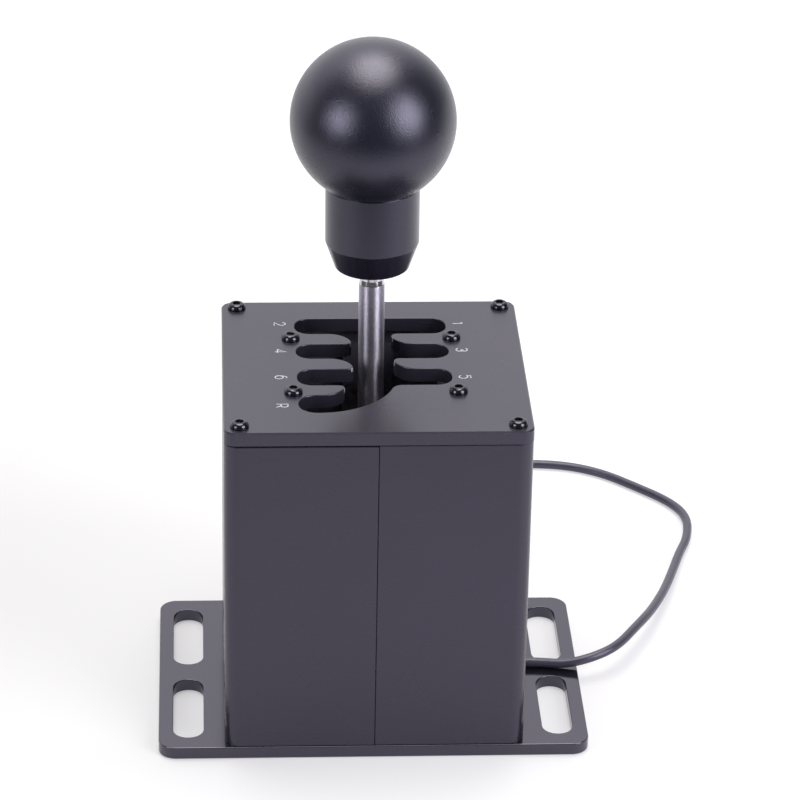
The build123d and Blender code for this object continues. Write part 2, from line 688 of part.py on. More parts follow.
# ------------------------------------------------------------------ lever
with BuildPart() as lever_hub:
    with BuildSketch(LEVER_SIDE):
        with Locations((0, 3)):
            RectangleRounded(14, 30, 1.5)
    extrude(amount=7.9, both=True)
    with BuildSketch(LEVER_SIDE):
        with Locations((0, -15.5)):
            Rectangle(4, 9)
        with Locations((0, -20)):
            Circle(2.0)
    extrude(amount=3.9, both=True)
    with BuildSketch(LEVER_SIDE):
        Circle(PIN_R + 0.02)
    extrude(amount=12, both=True, mode=Mode.SUBTRACT)
    with BuildSketch(LEVER.offset(4.5)):
        Circle(SHAFT_R + 0.02)
    extrude(amount=20, mode=Mode.SUBTRACT)
    with BuildSketch(Plane(origin=pivot, x_dir=(0, 1, 0), z_dir=lever_x)):
        with Locations((4, 0)):
            Circle(1.55)
    extrude(amount=10, mode=Mode.SUBTRACT)
lever_hub.part.label = "lever_hub"
export_step(lever_hub.part, "parts/lever_hub.step")

with BuildPart() as hub_set_screw:
    with BuildSketch(Plane(origin=pivot + lever_x * 3.05, x_dir=(0, 1, 0), z_dir=lever_x)):
        with Locations((4, 0)):
            Circle(1.5)
            RegularPolygon(0.87, 6, mode=Mode.SUBTRACT)
    extrude(amount=3.6)
hub_set_screw.part.label = "hub_set_screw"
export_step(hub_set_screw.part, "parts/hub_set_screw.step")

with BuildPart() as gear_axle:
    with BuildSketch(PIVOT_Y):
        with Locations((0, PZ)):
            Circle(PIN_R)
    extrude(amount=15.2, both=True)
gear_axle.part.label = "gear_axle"
export_step(gear_axle.part, "parts/gear_axle.step")

with BuildPart() as gear_magnet:
    with BuildSketch(Plane.XZ.offset(-(PY - 15.25))):
        with Locations((0, PZ)):
            Circle(2.5)
    extrude(amount=2.0)
gear_magnet.part.label = "gear_magnet"
export_step(gear_magnet.part, "parts/gear_magnet.step")

with BuildPart() as lever_shaft:
    with BuildSketch(LEVER_SIDE):
        with BuildLine():
            Polyline(
                (0, 4.8), (SHAFT_R - 0.5, 4.8), (SHAFT_R, 5.3), (SHAFT_R, SHAFT_TOP - 1.5),
                (3.0, SHAFT_TOP), (3.0, NECK_TOP - 0.5), (2.5, NECK_TOP), (0, NECK_TOP), close=True,
            )
        make_face()
    revolve(axis=LEVER_AXIS)
lever_shaft.part.label = "lever_shaft"
export_step(lever_shaft.part, "parts/lever_shaft.step")

with BuildPart() as shaft_lock_nut:
    with BuildSketch(LEVER.offset(18.02)):
        RegularPolygon(13.0 / math.sqrt(3), 6)
        Circle(SHAFT_R + 0.05, mode=Mode.SUBTRACT)
    extrude(amount=4.0)
shaft_lock_nut.part.label = "shaft_lock_nut"
export_step(shaft_lock_nut.part, "parts/shaft_lock_nut.step")

# ------------------------------------------------------------------ knob
with BuildPart() as knob_collar:
    with BuildSketch(LEVER_SIDE) as collar_half:
        with BuildLine():
            Polyline(
                (8.0, COLLAR_BOTTOM), (CONE_R, COLLAR_BOTTOM), (COLLAR_R, COLLAR_CONE), (COLLAR_R, COLLAR_TOP - 0.25),
                (COLLAR_R - 0.25, COLLAR_TOP), (6.0, COLLAR_TOP), (6.0, COLLAR_TOP + 11), (5.2, COLLAR_TOP + 11.8),
                (0, COLLAR_TOP + 11.8), (0, COLLAR_BOTTOM + 17), (8.0, COLLAR_BOTTOM + 17), close=True,
            )
        make_face()
        bottom_corner = collar_half.vertices().sort_by(lambda v: abs(v.Z - PZ - COLLAR_BOTTOM) + abs(v.X - CONE_R))[0]
        fillet(bottom_corner, 0.5)
    revolve(axis=LEVER_AXIS)
knob_collar.part.label = "knob_collar"
export_step(knob_collar.part, "parts/knob_collar.step")

with BuildPart() as knob_insert:
    with BuildSketch(LEVER_SIDE):
        with BuildLine():
            Polyline(
                (3.05, COLLAR_BOTTOM + 0.4), (7.95, COLLAR_BOTTOM + 0.4), (7.95, COLLAR_BOTTOM + 16.9),
                (3.05, COLLAR_BOTTOM + 16.9), close=True,
            )
        make_face()
    revolve(axis=LEVER_AXIS)
knob_insert.part.label = "knob_insert"
export_step(knob_insert.part, "parts/knob_insert.step")

with BuildPart(LEVER.offset(BALL_Z)) as knob_ball:
    Sphere(BALL_R)
    split(bisect_by=LEVER.offset(COLLAR_TOP + 0.02), keep=Keep.TOP)
    with BuildSketch(LEVER.offset(COLLAR_TOP)):
        Circle(6.05)
    extrude(amount=13, mode=Mode.SUBTRACT)
knob_ball.part.label = "knob_ball"
export_step(knob_ball.part, "parts/knob_ball.step")

# ------------------------------------------------------------------ controller
with BuildPart() as controller_board:
    with BuildSketch(Plane.YZ.offset(32.1)):
        with Locations((-1, 28.5)):
            RectangleRounded(42, 29, 1)
        with Locations(*BOARD_HOLES):
            Circle(1.1, mode=Mode.SUBTRACT)
    extrude(amount=1.6)
controller_board.part.label = "controller_board"
export_step(controller_board.part, "parts/controller_board.step")

with BuildPart() as board_spacers:
    with BuildSketch(Plane.YZ.offset(CHEEK_X + CHEEK_T)):
        with Locations(*BOARD_HOLES):
            Circle(2.0)
            Circle(1.1, mode=Mode.SUBTRACT)
    extrude(amount=3.0)
board_spacers.part.label = "board_spacers"
export_step(board_spacers.part, "parts/board_spacers.step")

with BuildPart() as board_screws:
    with BuildSketch(Plane.YZ.offset(33.72)):
        with Locations(*BOARD_HOLES):
            Circle(1.9)
    extrude(amount=1.3)
    with BuildSketch(Plane.YZ.offset(33.8)):
        with Locations(*BOARD_HOLES):
            Circle(1.0)
    extrude(amount=-7.4)
board_screws.part.label = "board_screws"
export_step(board_screws.part, "parts/board_screws.step")

with BuildPart() as controller_chips:
    with BuildSketch(Plane.YZ.offset(33.7)):
        with Locations((6, 30)):
            Rectangle(9, 9)
        with Locations((-9, 35)):
            Rectangle(5, 4)
        with Locations((-4.5, 38)):
            Rectangle(2, 3.2)
        with Locations((12.5, 22)):
            Rectangle(3, 1.6)
    extrude(amount=1.1)
controller_chips.part.label = "controller_chips"
export_step(controller_chips.part, "parts/controller_chips.step")

with BuildPart() as board_connectors:
    with BuildSketch(Plane.YZ.offset(33.7)):
        with Locations((EXIT_Y, 20)):
            Rectangle(10, 7)
        with Locations((-16, 29)):
            Rectangle(6, 8)
    extrude(amount=5.6)
    fillet(board_connectors.edges().filter_by(Axis.X), 0.4)
board_connectors.part.label = "board_connectors"
export_step(board_connectors.part, "parts/board_connectors.step")

# ------------------------------------------------------------------ lead, grommet, coil and plug
with BuildPart() as cable_grommet:
    for start, depth, radius in ((BODY_X / 2, WALL, 2.5), (BODY_X / 2 - WALL, 1.0, 2.95)):
        with BuildSketch(Plane.YZ.offset(start)):
            with Locations((EXIT_Y, EXIT_Z)):
                Circle(radius)
            with Locations((EXIT_Y, EXIT_Z / 2)):
                Rectangle(2 * radius, EXIT_Z)
            with Locations((EXIT_Y, 1.0)):
                Rectangle(8, 6.06, mode=Mode.SUBTRACT)
            with Locations((EXIT_Y, EXIT_Z)):
                Circle(LEAD_R + 0.05, mode=Mode.SUBTRACT)
        extrude(amount=-depth)
cable_grommet.part.label = "cable_grommet"
export_step(cable_grommet.part, "parts/cable_grommet.step")

with BuildPart() as lead_stop_tie:
    with BuildSketch(Plane.YZ.offset(41.98)):
        with Locations((EXIT_Y, EXIT_Z)):
            Circle(2.5)
        with Locations((EXIT_Y, EXIT_Z + 3.2)):
            Rectangle(3.4, 2.2)
        with Locations((EXIT_Y, 1.0)):
            Rectangle(8, 6.06, mode=Mode.SUBTRACT)
        with Locations((EXIT_Y, EXIT_Z)):
            Circle(LEAD_R + 0.04, mode=Mode.SUBTRACT)
    extrude(amount=-1.6)
lead_stop_tie.part.label = "lead_stop_tie"
export_step(lead_stop_tie.part, "parts/lead_stop_tie.step")

with BuildPart() as lead_inside:
    with BuildLine() as inside_path:
        FilletPolyline(
            (BODY_X / 2, EXIT_Y, EXIT_Z), (35.7, EXIT_Y, EXIT_Z), (35.7, EXIT_Y, 16.5), radius=4.6
        )
    with BuildSketch(Plane(origin=inside_path.line @ 0, z_dir=inside_path.line % 0)):
        Circle(LEAD_R)
    sweep(path=inside_path.line)
lead_inside.part.label = "lead_inside"
export_step(lead_inside.part, "parts/lead_inside.step")

# the visible stretch: out of the housing, over the base plate, in a loop to the back
ROUTE = [
    (46.5, 1.3, 5.8), (54.5, 1.3, 5.6), (62.9, -0.4, 5.7), (71.6, 0.3, 7.5), (80.3, 5.3, 8.7),
    (88.1, 19.0, 8.3), (94.0, 31.1, 6.6), (99.9, 46.6, 4.8), (104.4, 61.7, 3.3), (108.7, 77.4, 2.1),
    (113.0, 89.3, 1.6), (114.7, 104.0, 1.5), (109.7, 115.3, 1.5), (98.0, 127.2, 1.5), (88.0, 136.5, 1.5),
    (76.9, 142.0, 1.5), (64.8, 143.9, 1.5), (52.2, 143.5, 1.5), (39.0, 142.8, 1.5), (26.0, 144.0, 1.5),
    (14.0, 144.0, 1.5),
]


def corner_radii(points):
    radii = []
    for a, b, c in zip(points, points[1:], points[2:]):
        before, after = Vector(*b) - Vector(*a), Vector(*c) - Vector(*b)
        half = math.radians(before.get_angle(after)) / 2
        radii.append(0.45 * min(before.length, after.length) / math.tan(half))
    return radii


with BuildPart() as usb_cable:
    with BuildLine() as cable_path:
        FilletPolyline(*ROUTE, radius=corner_radii(ROUTE))
    with BuildSketch(Plane(origin=cable_path.line @ 0, z_dir=cable_path.line % 0)):
        Circle(LEAD_R)
    sweep(path=cable_path.line)
usb_cable.part.label = "usb_cable"
export_step(usb_cable.part, "parts/usb_cable.step")
print("cable radii", [round(r, 1) for r in corner_radii(ROUTE)])
cable_length = sum(e.length for e in cable_path.edges())
print("cable length", cable_length, "volume", usb_cable.part.volume, "section x length", math.pi * LEAD_R**2 * cable_length)

# the rest of the lead, wound into a flat ring behind the housing
with BuildPart() as usb_cable_coil:
    with BuildSketch(Plane.XZ.offset(-COIL_Y)):
        with BuildLine():
            Polyline(
                (COIL_X + 10.5, 0.6), (COIL_X + 11.1, 0), (COIL_X + 24.9, 0), (COIL_X + 25.5, 0.6),
                (COIL_X + 25.5, 3.0), (COIL_X + 23.2, 8.2), (COIL_X + 18.6, 8.2), (COIL_X + 12.2, 5.6),
                (COIL_X + 10.5, 3.0), close=True,
            )
        make_face()
    revolve(axis=Axis((COIL_X, COIL_Y, 0), (0, 0, 1)))
usb_cable_coil.part.label = "usb_cable_coil"
export_step(usb_cable_coil.part, "parts/usb_cable_coil.step")

TAIL = [(-7.0, 118.0, 6.7), (-7.1, 109.5, 6.7), (-8.1, 100.9, 4.4), (-8.2, 92.0, 4.0)]
print("tail radii", [round(r, 1) for r in corner_radii(TAIL)])
with BuildPart() as usb_cable_tail:
    with BuildLine() as tail_path:
        FilletPolyline(*TAIL, radius=corner_radii(TAIL))
    with BuildSketch(Plane(origin=tail_path.line @ 0, z_dir=tail_path.line % 0)):
        Circle(LEAD_R)
    sweep(path=tail_path.line)
usb_cable_tail.part.label = "usb_cable_tail"
export_step(usb_cable_tail.part, "parts/usb_cable_tail.step")

with BuildPart() as cable_tie:
    with BuildSketch(Plane.XZ.offset(-COIL_Y)):
        with Locations((COIL_X + 18, 4.6)):
            RectangleRounded(17.6, 9.2, 1.5)
            RectangleRounded(15.6, 7.4, 1.0, mode=Mode.SUBTRACT)
    extrude(amount=2.5, both=True)
cable_tie.part.label = "cable_tie"
export_step(cable_tie.part, "parts/cable_tie.step")

# plug: moulded grip with a tapered tail, steel shell and its tongue
plug_dir = Vector(0, -1, 0)
PLUG = Plane(origin=(-8.2, 92.0, 4.0), x_dir=(1, 0, 0), z_dir=plug_dir)
with BuildPart() as usb_plug_body:
    with BuildSketch(PLUG):
        RectangleRounded(4.4, 4.4, 1.6)
    with BuildSketch(PLUG.offset(9)):
        RectangleRounded(12.0, 6.6, 2.0)
    loft()
    with BuildSketch(PLUG.offset(9)):
        RectangleRounded(15.6, 8.0, 2.2)
    extrude(amount=21)
    fillet(usb_plug_body.faces().sort_by(Axis.Y)[0].edges(), 0.6)
usb_plug_body.part.label = "usb_plug_body"
export_step(usb_plug_body.part, "parts/usb_plug_body.step")

with BuildPart() as usb_plug_shell:
    with BuildSketch(PLUG.offset(30.02)):
        Rectangle(12.0, 4.5)
        Rectangle(11.4, 3.9, mode=Mode.SUBTRACT)
    extrude(amount=11.8)
usb_plug_shell.part.label = "usb_plug_shell"
export_step(usb_plug_shell.part, "parts/usb_plug_shell.step")

with BuildPart() as usb_plug_tongue:
    with BuildSketch(PLUG.offset(30.02)):
        with Locations((0, -0.95)):
            Rectangle(11.2, 1.8)
    extrude(amount=10.8)
usb_plug_tongue.part.label = "usb_plug_tongue"
export_step(usb_plug_tongue.part, "parts/usb_plug_tongue.step")
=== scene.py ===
"""Looks of the H-pattern gear shifter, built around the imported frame. Sizes in the lists are millimetres."""

import math

import bmesh
import bpy
import numpy as np
from mathutils import Matrix, Vector
from mathutils.geometry import tessellate_polygon


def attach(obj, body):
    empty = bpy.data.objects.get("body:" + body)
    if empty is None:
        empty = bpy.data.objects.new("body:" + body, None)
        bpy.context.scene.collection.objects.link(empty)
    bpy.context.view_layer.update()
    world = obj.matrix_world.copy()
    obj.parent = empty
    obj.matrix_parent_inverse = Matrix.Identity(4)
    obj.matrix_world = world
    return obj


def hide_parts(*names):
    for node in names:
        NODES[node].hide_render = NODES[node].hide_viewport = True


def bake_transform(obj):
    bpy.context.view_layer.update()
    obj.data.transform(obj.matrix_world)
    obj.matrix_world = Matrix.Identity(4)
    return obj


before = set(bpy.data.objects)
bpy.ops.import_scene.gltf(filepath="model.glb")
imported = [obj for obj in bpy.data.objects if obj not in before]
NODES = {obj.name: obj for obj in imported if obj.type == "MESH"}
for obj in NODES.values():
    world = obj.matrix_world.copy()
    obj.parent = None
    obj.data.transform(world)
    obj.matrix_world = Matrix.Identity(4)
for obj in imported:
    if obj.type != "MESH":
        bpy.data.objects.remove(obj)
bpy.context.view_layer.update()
MM = 0.001
scene = bpy.context.scene
scene.view_settings.view_transform = "Standard"

# ------------------------------------------------------------------ camera
FOCAL_PX, AZ, EL, ROLL = 3891.219, -3.25723, 27.18175, 1.11258
EYE = Vector((-52.4954, -1069.20614, 651.23463)) * MM


def make_camera():
    a, e, r = (math.radians(x) for x in (AZ, EL, ROLL))
    back = Vector((math.sin(a) * math.cos(e), -math.cos(a) * math.cos(e), math.sin(e)))
    right = (-back).cross(Vector((0, 0, 1))).normalized()
    up = right.cross(-back)
    x = math.cos(r) * right + math.sin(r) * up
    y = -math.sin(r) * right + math.cos(r) * up
    data = bpy.data.cameras.new("camera")
    data.sensor_width = 36.0
    data.lens = FOCAL_PX * 36.0 / 800.0
    data.clip_start, data.clip_end = 0.05, 20.0
    cam = bpy.data.objects.new("camera", data)
    scene.collection.objects.link(cam)
    m = Matrix((x, y, back)).transposed().to_4x4()
    m.translation = EYE
    cam.matrix_world = m
    scene.camera = cam


make_camera()

# ------------------------------------------------------------------ materials


def set_socket(node, names, value):
    for n in names:
        if n in node.inputs:
            node.inputs[n].default_value = value
            return


def surface(
    name,
    color,
    rough=0.4,
    metal=0.0,
    ior=1.5,
    grain=0.0,
    grain_scale=3000.0,
    grain_stretch=(1, 1, 1),
    rough_var=0.06,
    rough_scale=60.0,
    tone_var=0.12,
    tone_scale=25.0,
    coat=0.0,
    coat_rough=0.1,
    bump_dist=0.00002,
    aniso=0.0,
    spec_tint=None,
    specks=0.0,
    marks=0.0,
    low_shade=None,
):
    """A procedural finish: slow tone drift, roughness drift, a fine grain bump, optional dust specks and scuffs, and
    optional painted shade low down.
    """
    mat = bpy.data.materials.new(name)
    mat.use_nodes = True
    nt = mat.node_tree
    nt.nodes.clear()
    out = nt.nodes.new("ShaderNodeOutputMaterial")
    bsdf = nt.nodes.new("ShaderNodeBsdfPrincipled")
    nt.links.new(bsdf.outputs[0], out.inputs[0])
    bsdf.inputs["Metallic"].default_value = metal
    bsdf.inputs["IOR"].default_value = ior
    if coat:
        bsdf.inputs["Coat Weight"].default_value = coat
        bsdf.inputs["Coat Roughness"].default_value = coat_rough
    if aniso:
        # turned or ground round the axis: the shine spreads along the axis
        bsdf.inputs["Anisotropic"].default_value = aniso
        bsdf.inputs["Anisotropic Rotation"].default_value = 0.25
        tan = nt.nodes.new("ShaderNodeTangent")
        tan.direction_type = "RADIAL"
        tan.axis = "Z"
        nt.links.new(tan.outputs[0], bsdf.inputs["Tangent"])
    if spec_tint:
        bsdf.inputs["Specular Tint"].default_value = (*spec_tint, 1)
    tc = nt.nodes.new("ShaderNodeTexCoord")
    # slow drift of tone
    n1 = nt.nodes.new("ShaderNodeTexNoise")
    n1.inputs["Scale"].default_value = tone_scale
    n1.inputs["Detail"].default_value = 4
    nt.links.new(tc.outputs["Object"], n1.inputs["Vector"])
    ramp = nt.nodes.new("ShaderNodeMapRange")
    ramp.inputs["From Min"].default_value = 0.25
    ramp.inputs["From Max"].default_value = 0.75
    ramp.inputs["To Min"].default_value = 1 - tone_var
    ramp.inputs["To Max"].default_value = 1 + tone_var
    nt.links.new(n1.outputs["Fac"], ramp.inputs["Value"])
    tint = nt.nodes.new("ShaderNodeMix")
    tint.data_type = "RGBA"
    tint.blend_type = "MULTIPLY"
    tint.inputs[0].default_value = 1.0
    tint.inputs[6].default_value = (*color, 1)
    nt.links.new(ramp.outputs[0], tint.inputs[7])
    colour = tint.outputs[2]
    if low_shade:
        # painted shade, darker low down towards the gate plate, as (full below, none above, how much of the tone is
        # left)
        where = nt.nodes.new("ShaderNodeSeparateXYZ")
        nt.links.new(tc.outputs["Object"], where.inputs[0])
        shade_fade = nt.nodes.new("ShaderNodeMapRange")
        for socket, value in (("From Min", low_shade[0]), ("From Max", low_shade[1]), ("To Min", low_shade[2]), ("To Max", 1.0)):
            shade_fade.inputs[socket].default_value = value
        nt.links.new(where.outputs["Z"], shade_fade.inputs["Value"])
        dark = nt.nodes.new("ShaderNodeMix")
        dark.data_type = "RGBA"
        dark.blend_type = "MULTIPLY"
        dark.inputs[0].default_value = 1.0
        nt.links.new(colour, dark.inputs[6])
        nt.links.new(shade_fade.outputs[0], dark.inputs[7])
        colour = dark.outputs[2]
    # roughness drift
    n2 = nt.nodes.new("ShaderNodeTexNoise")
    n2.inputs["Scale"].default_value = rough_scale
    n2.inputs["Detail"].default_value = 6
    nt.links.new(tc.outputs["Object"], n2.inputs["Vector"])
    rr = nt.nodes.new("ShaderNodeMapRange")
    rr.inputs["From Min"].default_value = 0.3
    rr.inputs["From Max"].default_value = 0.7
    rr.inputs["To Min"].default_value = rough - rough_var
    rr.inputs["To Max"].default_value = rough + rough_var
    nt.links.new(n2.outputs["Fac"], rr.inputs["Value"])
    roughness = rr.outputs[0]
    if specks:
        # sparse pale dust and tiny scratches in the finish
        vo = nt.nodes.new("ShaderNodeTexVoronoi")
        vo.inputs["Scale"].default_value = 210.0
        nt.links.new(tc.outputs["Object"], vo.inputs["Vector"])
        lt = nt.nodes.new("ShaderNodeMath")
        lt.operation = "LESS_THAN"
        lt.inputs[1].default_value = 0.052
        nt.links.new(vo.outputs["Distance"], lt.inputs[0])
        pick = nt.nodes.new("ShaderNodeSeparateColor")
        nt.links.new(vo.outputs["Color"], pick.inputs[0])
        few = nt.nodes.new("ShaderNodeMath")
        few.operation = "GREATER_THAN"
        few.inputs[1].default_value = 1 - specks
        nt.links.new(pick.outputs[0], few.inputs[0])
        both = nt.nodes.new("ShaderNodeMath")
        both.operation = "MULTIPLY"
        nt.links.new(lt.outputs[0], both.inputs[0])
        nt.links.new(few.outputs[0], both.inputs[1])
        mixd = nt.nodes.new("ShaderNodeMix")
        mixd.data_type = "RGBA"
        nt.links.new(both.outputs[0], mixd.inputs[0])
        nt.links.new(colour, mixd.inputs[6])
        mixd.inputs[7].default_value = (0.2, 0.2, 0.21, 1)
        colour = mixd.outputs[2]
    if marks:
        # faint wiping marks, long in one direction
        mp = nt.nodes.new("ShaderNodeMapping")
        mp.inputs["Scale"].default_value = (14, 14, 260)
        mp.inputs["Rotation"].default_value = (0.9, 0.6, 0.3)
        nt.links.new(tc.outputs["Object"], mp.inputs[0])
        n4 = nt.nodes.new("ShaderNodeTexNoise")
        n4.inputs["Scale"].default_value = 3.0
        n4.inputs["Detail"].default_value = 5
        nt.links.new(mp.outputs[0], n4.inputs["Vector"])
        mr = nt.nodes.new("ShaderNodeMapRange")
        mr.inputs["From Min"].default_value = 0.55
        mr.inputs["From Max"].default_value = 0.8
        mr.inputs["To Min"].default_value = 0.0
        mr.inputs["To Max"].default_value = marks
        nt.links.new(n4.outputs["Fac"], mr.inputs["Value"])
        add = nt.nodes.new("ShaderNodeMath")
        add.operation = "ADD"
        nt.links.new(roughness, add.inputs[0])
        nt.links.new(mr.outputs[0], add.inputs[1])
        roughness = add.outputs[0]
    nt.links.new(colour, bsdf.inputs["Base Color"])
    nt.links.new(roughness, bsdf.inputs["Roughness"])
    if grain:
        mp = nt.nodes.new("ShaderNodeMapping")
        mp.inputs["Scale"].default_value = grain_stretch
        nt.links.new(tc.outputs["Object"], mp.inputs[0])
        n3 = nt.nodes.new("ShaderNodeTexNoise")
        n3.inputs["Scale"].default_value = grain_scale
        n3.inputs["Detail"].default_value = 2
        nt.links.new(mp.outputs[0], n3.inputs["Vector"])
        bp = nt.nodes.new("ShaderNodeBump")
        bp.inputs["Strength"].default_value = grain
        bp.inputs["Distance"].default_value = bump_dist
        nt.links.new(n3.outputs["Fac"], bp.inputs["Height"])
        nt.links.new(bp.outputs[0], bsdf.inputs["Normal"])
    return mat


ANO = (0.0120, 0.0105, 0.0170)
TINT = (0.82, 0.78, 1.0)
MAT = {
    "housing": surface("satin_black_housing", ANO, rough=0.27, ior=1.6, spec_tint=TINT, grain=0.12, grain_scale=2600, rough_var=0.02, tone_var=0.10, tone_scale=18, specks=0.006, marks=0.03),
    "lid": surface("satin_black_gate", (0.017, 0.0155, 0.023), rough=0.26, ior=1.6, spec_tint=TINT, grain=0.10, grain_scale=2600, rough_var=0.02, tone_var=0.10, tone_scale=22, specks=0.012, marks=0.05),
    "base": surface("satin_black_base", (0.0065, 0.0056, 0.0095), rough=0.11, ior=1.8, spec_tint=TINT, grain=0.05, grain_scale=2600, rough_var=0.02, tone_var=0.10, tone_scale=22, specks=0.006, marks=0.05),
    # painted light: a much lighter grey than the housing's, standing in for the light that reaches the inside through
    # the gate
    "inner": surface("inner_painted_light", (0.09, 0.09, 0.115), rough=0.45, grain=0.3, grain_scale=2500, rough_var=0.06),
    "ball": surface("blasted_black_ball", (0.0055, 0.0060, 0.0120), rough=0.28, ior=1.63, spec_tint=TINT, grain=1.0, grain_scale=2500, rough_var=0.02, tone_var=0.08, specks=0.012, bump_dist=0.00009),
    "collar": surface("turned_black_collar", (0.0070, 0.0066, 0.0120), rough=0.27, ior=1.68, spec_tint=TINT, grain=0.10, grain_scale=900, grain_stretch=(0.4, 0.4, 5.0), rough_var=0.02),
    "screw": surface("black_oxide_screw", (0.003, 0.003, 0.005), rough=0.13, ior=1.6, spec_tint=(0.84, 0.82, 1.0), grain=0.12, grain_scale=3500, rough_var=0.03, rough_scale=700),
    "dull_screw": surface("phosphated_screw", (0.06, 0.06, 0.075), rough=0.55, grain=0.3, grain_scale=3500),
    # painted highlight: a pale grey put where light glints on the tongues' tips
    "painted_tip_glint": surface("painted_tip_glint_grey", (0.42, 0.42, 0.44), rough=0.42, metal=0.35, grain=0.5, grain_scale=2600, tone_var=0.15, tone_scale=900),
    "zinc": surface("bright_zinc", (0.55, 0.55, 0.56), rough=0.3, metal=1, grain=0.2, grain_scale=2500),
    # the shaft has painted shade: darker below the collar, towards the gate plate
    "shaft": surface("ground_steel_shaft", (0.52, 0.49, 0.58), rough=0.43, metal=0.88, grain=0.8, grain_scale=2600, grain_stretch=(1, 1, 1.6), rough_var=0.05, rough_scale=900, tone_var=0.16, tone_scale=1300, bump_dist=0.00006, aniso=0.9, low_shade=(0.118, 0.134, 0.58)),
    "bright": surface("polished_steel_neck", (0.62, 0.60, 0.64), rough=0.14, metal=1, grain=0.2, grain_scale=1500, rough_var=0.03, rough_scale=700, tone_var=0.05, tone_scale=300, bump_dist=0.00001),
    "spring": surface("spring_steel_blue", (0.22, 0.22, 0.24), rough=0.32, metal=1, grain=0.2, grain_scale=2000),
    "bronze": surface("sintered_bronze", (0.50, 0.30, 0.13), rough=0.42, metal=1, grain=0.6, grain_scale=3500),
    "brass": surface("turned_brass", (0.62, 0.46, 0.2), rough=0.3, metal=1, grain=0.3, grain_scale=900, grain_stretch=(1, 1, 6)),
    "board": surface("solder_mask", (0.012, 0.075, 0.03), rough=0.3, coat=0.4, grain=0.3, grain_scale=900, tone_var=0.25, tone_scale=400),
    "chip": surface("moulded_epoxy", (0.012, 0.012, 0.013), rough=0.55, grain=0.6, grain_scale=4000),
    "nylon": surface("natural_nylon", (0.62, 0.61, 0.56), rough=0.42, grain=0.2, grain_scale=1200),
    "nylon_black": surface("black_nylon", (0.014, 0.014, 0.015), rough=0.38, grain=0.3, grain_scale=1200),
    "rubber": surface("soft_rubber", (0.012, 0.012, 0.013), rough=0.5, grain=0.4, grain_scale=2500),
    "cable": surface("pvc_jacket", (0.036, 0.034, 0.050), rough=0.33, ior=1.55, spec_tint=TINT, grain=0.25, grain_scale=1500, rough_var=0.05, rough_scale=150, tone_var=0.12, tone_scale=60),
    "plug": surface("moulded_pvc", (0.018, 0.018, 0.02), rough=0.45, grain=0.5, grain_scale=2600),
    "nickel": surface("nickel_shell", (0.62, 0.62, 0.62), rough=0.22, metal=1, grain=0.15, grain_scale=1500, grain_stretch=(1, 0.2, 1)),
    "ink": surface("white_print", (0.42, 0.42, 0.45), rough=0.6, grain=0.3, grain_scale=6000, tone_var=0.10, tone_scale=900),
}

FINISH = {
    "base_plate": "base", "base_screws": "screw", "housing_left": "housing", "housing_right": "housing",
    "seam_strips": "inner", "seam_strip_screws": "dull_screw", "gate_plate": "lid", "gate_corner_screws": "screw",
    "gate_inner_screws": "screw", "gate_pillars": "inner", "pillar_studs": "zinc", "cheek_left": "inner",
    "cheek_right": "inner", "pivot_bushes": "bronze", "gimbal_ring": "inner", "ring_pivot_pins": "zinc",
    "gear_axle_bushes": "bronze", "detent_bracket": "inner", "bracket_screws": "screw", "detent_leaf_spring": "spring",
    "leaf_screws": "zinc", "lane_centring_springs": "spring", "lane_magnet": "zinc", "lane_sensor_board": "board",
    "lane_sensor_chip": "chip", "lane_sensor_screws": "zinc", "lane_sensor_spacers": "nylon", "gear_magnet": "zinc",
    "gear_sensor_board": "board", "gear_sensor_chip": "chip", "gear_sensor_spacers": "nylon", "gear_sensor_screws": "zinc",
    "lever_hub": "inner", "hub_set_screw": "screw", "gear_axle": "zinc", "lever_shaft": "shaft", "shaft_lock_nut": "zinc",
    "knob_collar": "collar", "knob_insert": "brass", "knob_ball": "ball", "controller_board": "board",
    "board_spacers": "nylon", "board_screws": "zinc", "controller_chips": "chip", "board_connectors": "nylon",
    "cable_grommet": "rubber", "lead_stop_tie": "nylon", "lead_inside": "cable", "usb_cable": "cable",
    "usb_cable_coil": "cable", "usb_cable_tail": "cable", "cable_tie": "nylon_black", "usb_plug_body": "plug",
    "usb_plug_shell": "nickel", "usb_plug_tongue": "chip",
}
for node, obj in NODES.items():
    mat = MAT[FINISH[node]]
    if obj.material_slots:
        for s in obj.material_slots:
            s.material = mat
    else:
        obj.data.materials.append(mat)

# ------------------------------------------------------------------ mesh tools


def finish_mesh(obj, mat, body, node=None, sharp=32.0, weighted=True):
    me = obj.data
    me.materials.append(MAT[mat])
    for p in me.polygons:
        p.use_smooth = True
    me.set_sharp_from_angle(angle=math.radians(sharp))
    if weighted:
        wn = obj.modifiers.new("normals", "WEIGHTED_NORMAL")
        wn.mode = "FACE_AREA"
        wn.weight = 80
        wn.keep_sharp = True
    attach(obj, body)
    if node:
        nodes = [node] if isinstance(node, str) else node
        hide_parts(*nodes)
    return obj


def new_object(name, bm):
    me = bpy.data.meshes.new(name)
    bmesh.ops.recalc_face_normals(bm, faces=bm.faces)
    bm.to_mesh(me)
    bm.free()
    obj = bpy.data.objects.new(name, me)
    scene.collection.objects.link(obj)
    return obj


def area2(poly):
    return sum(a[0] * b[1] - b[0] * a[1] for a, b in zip(poly, poly[1:] + poly[:1]))


def ccw(poly):
    return poly if area2(poly) > 0 else poly[::-1]


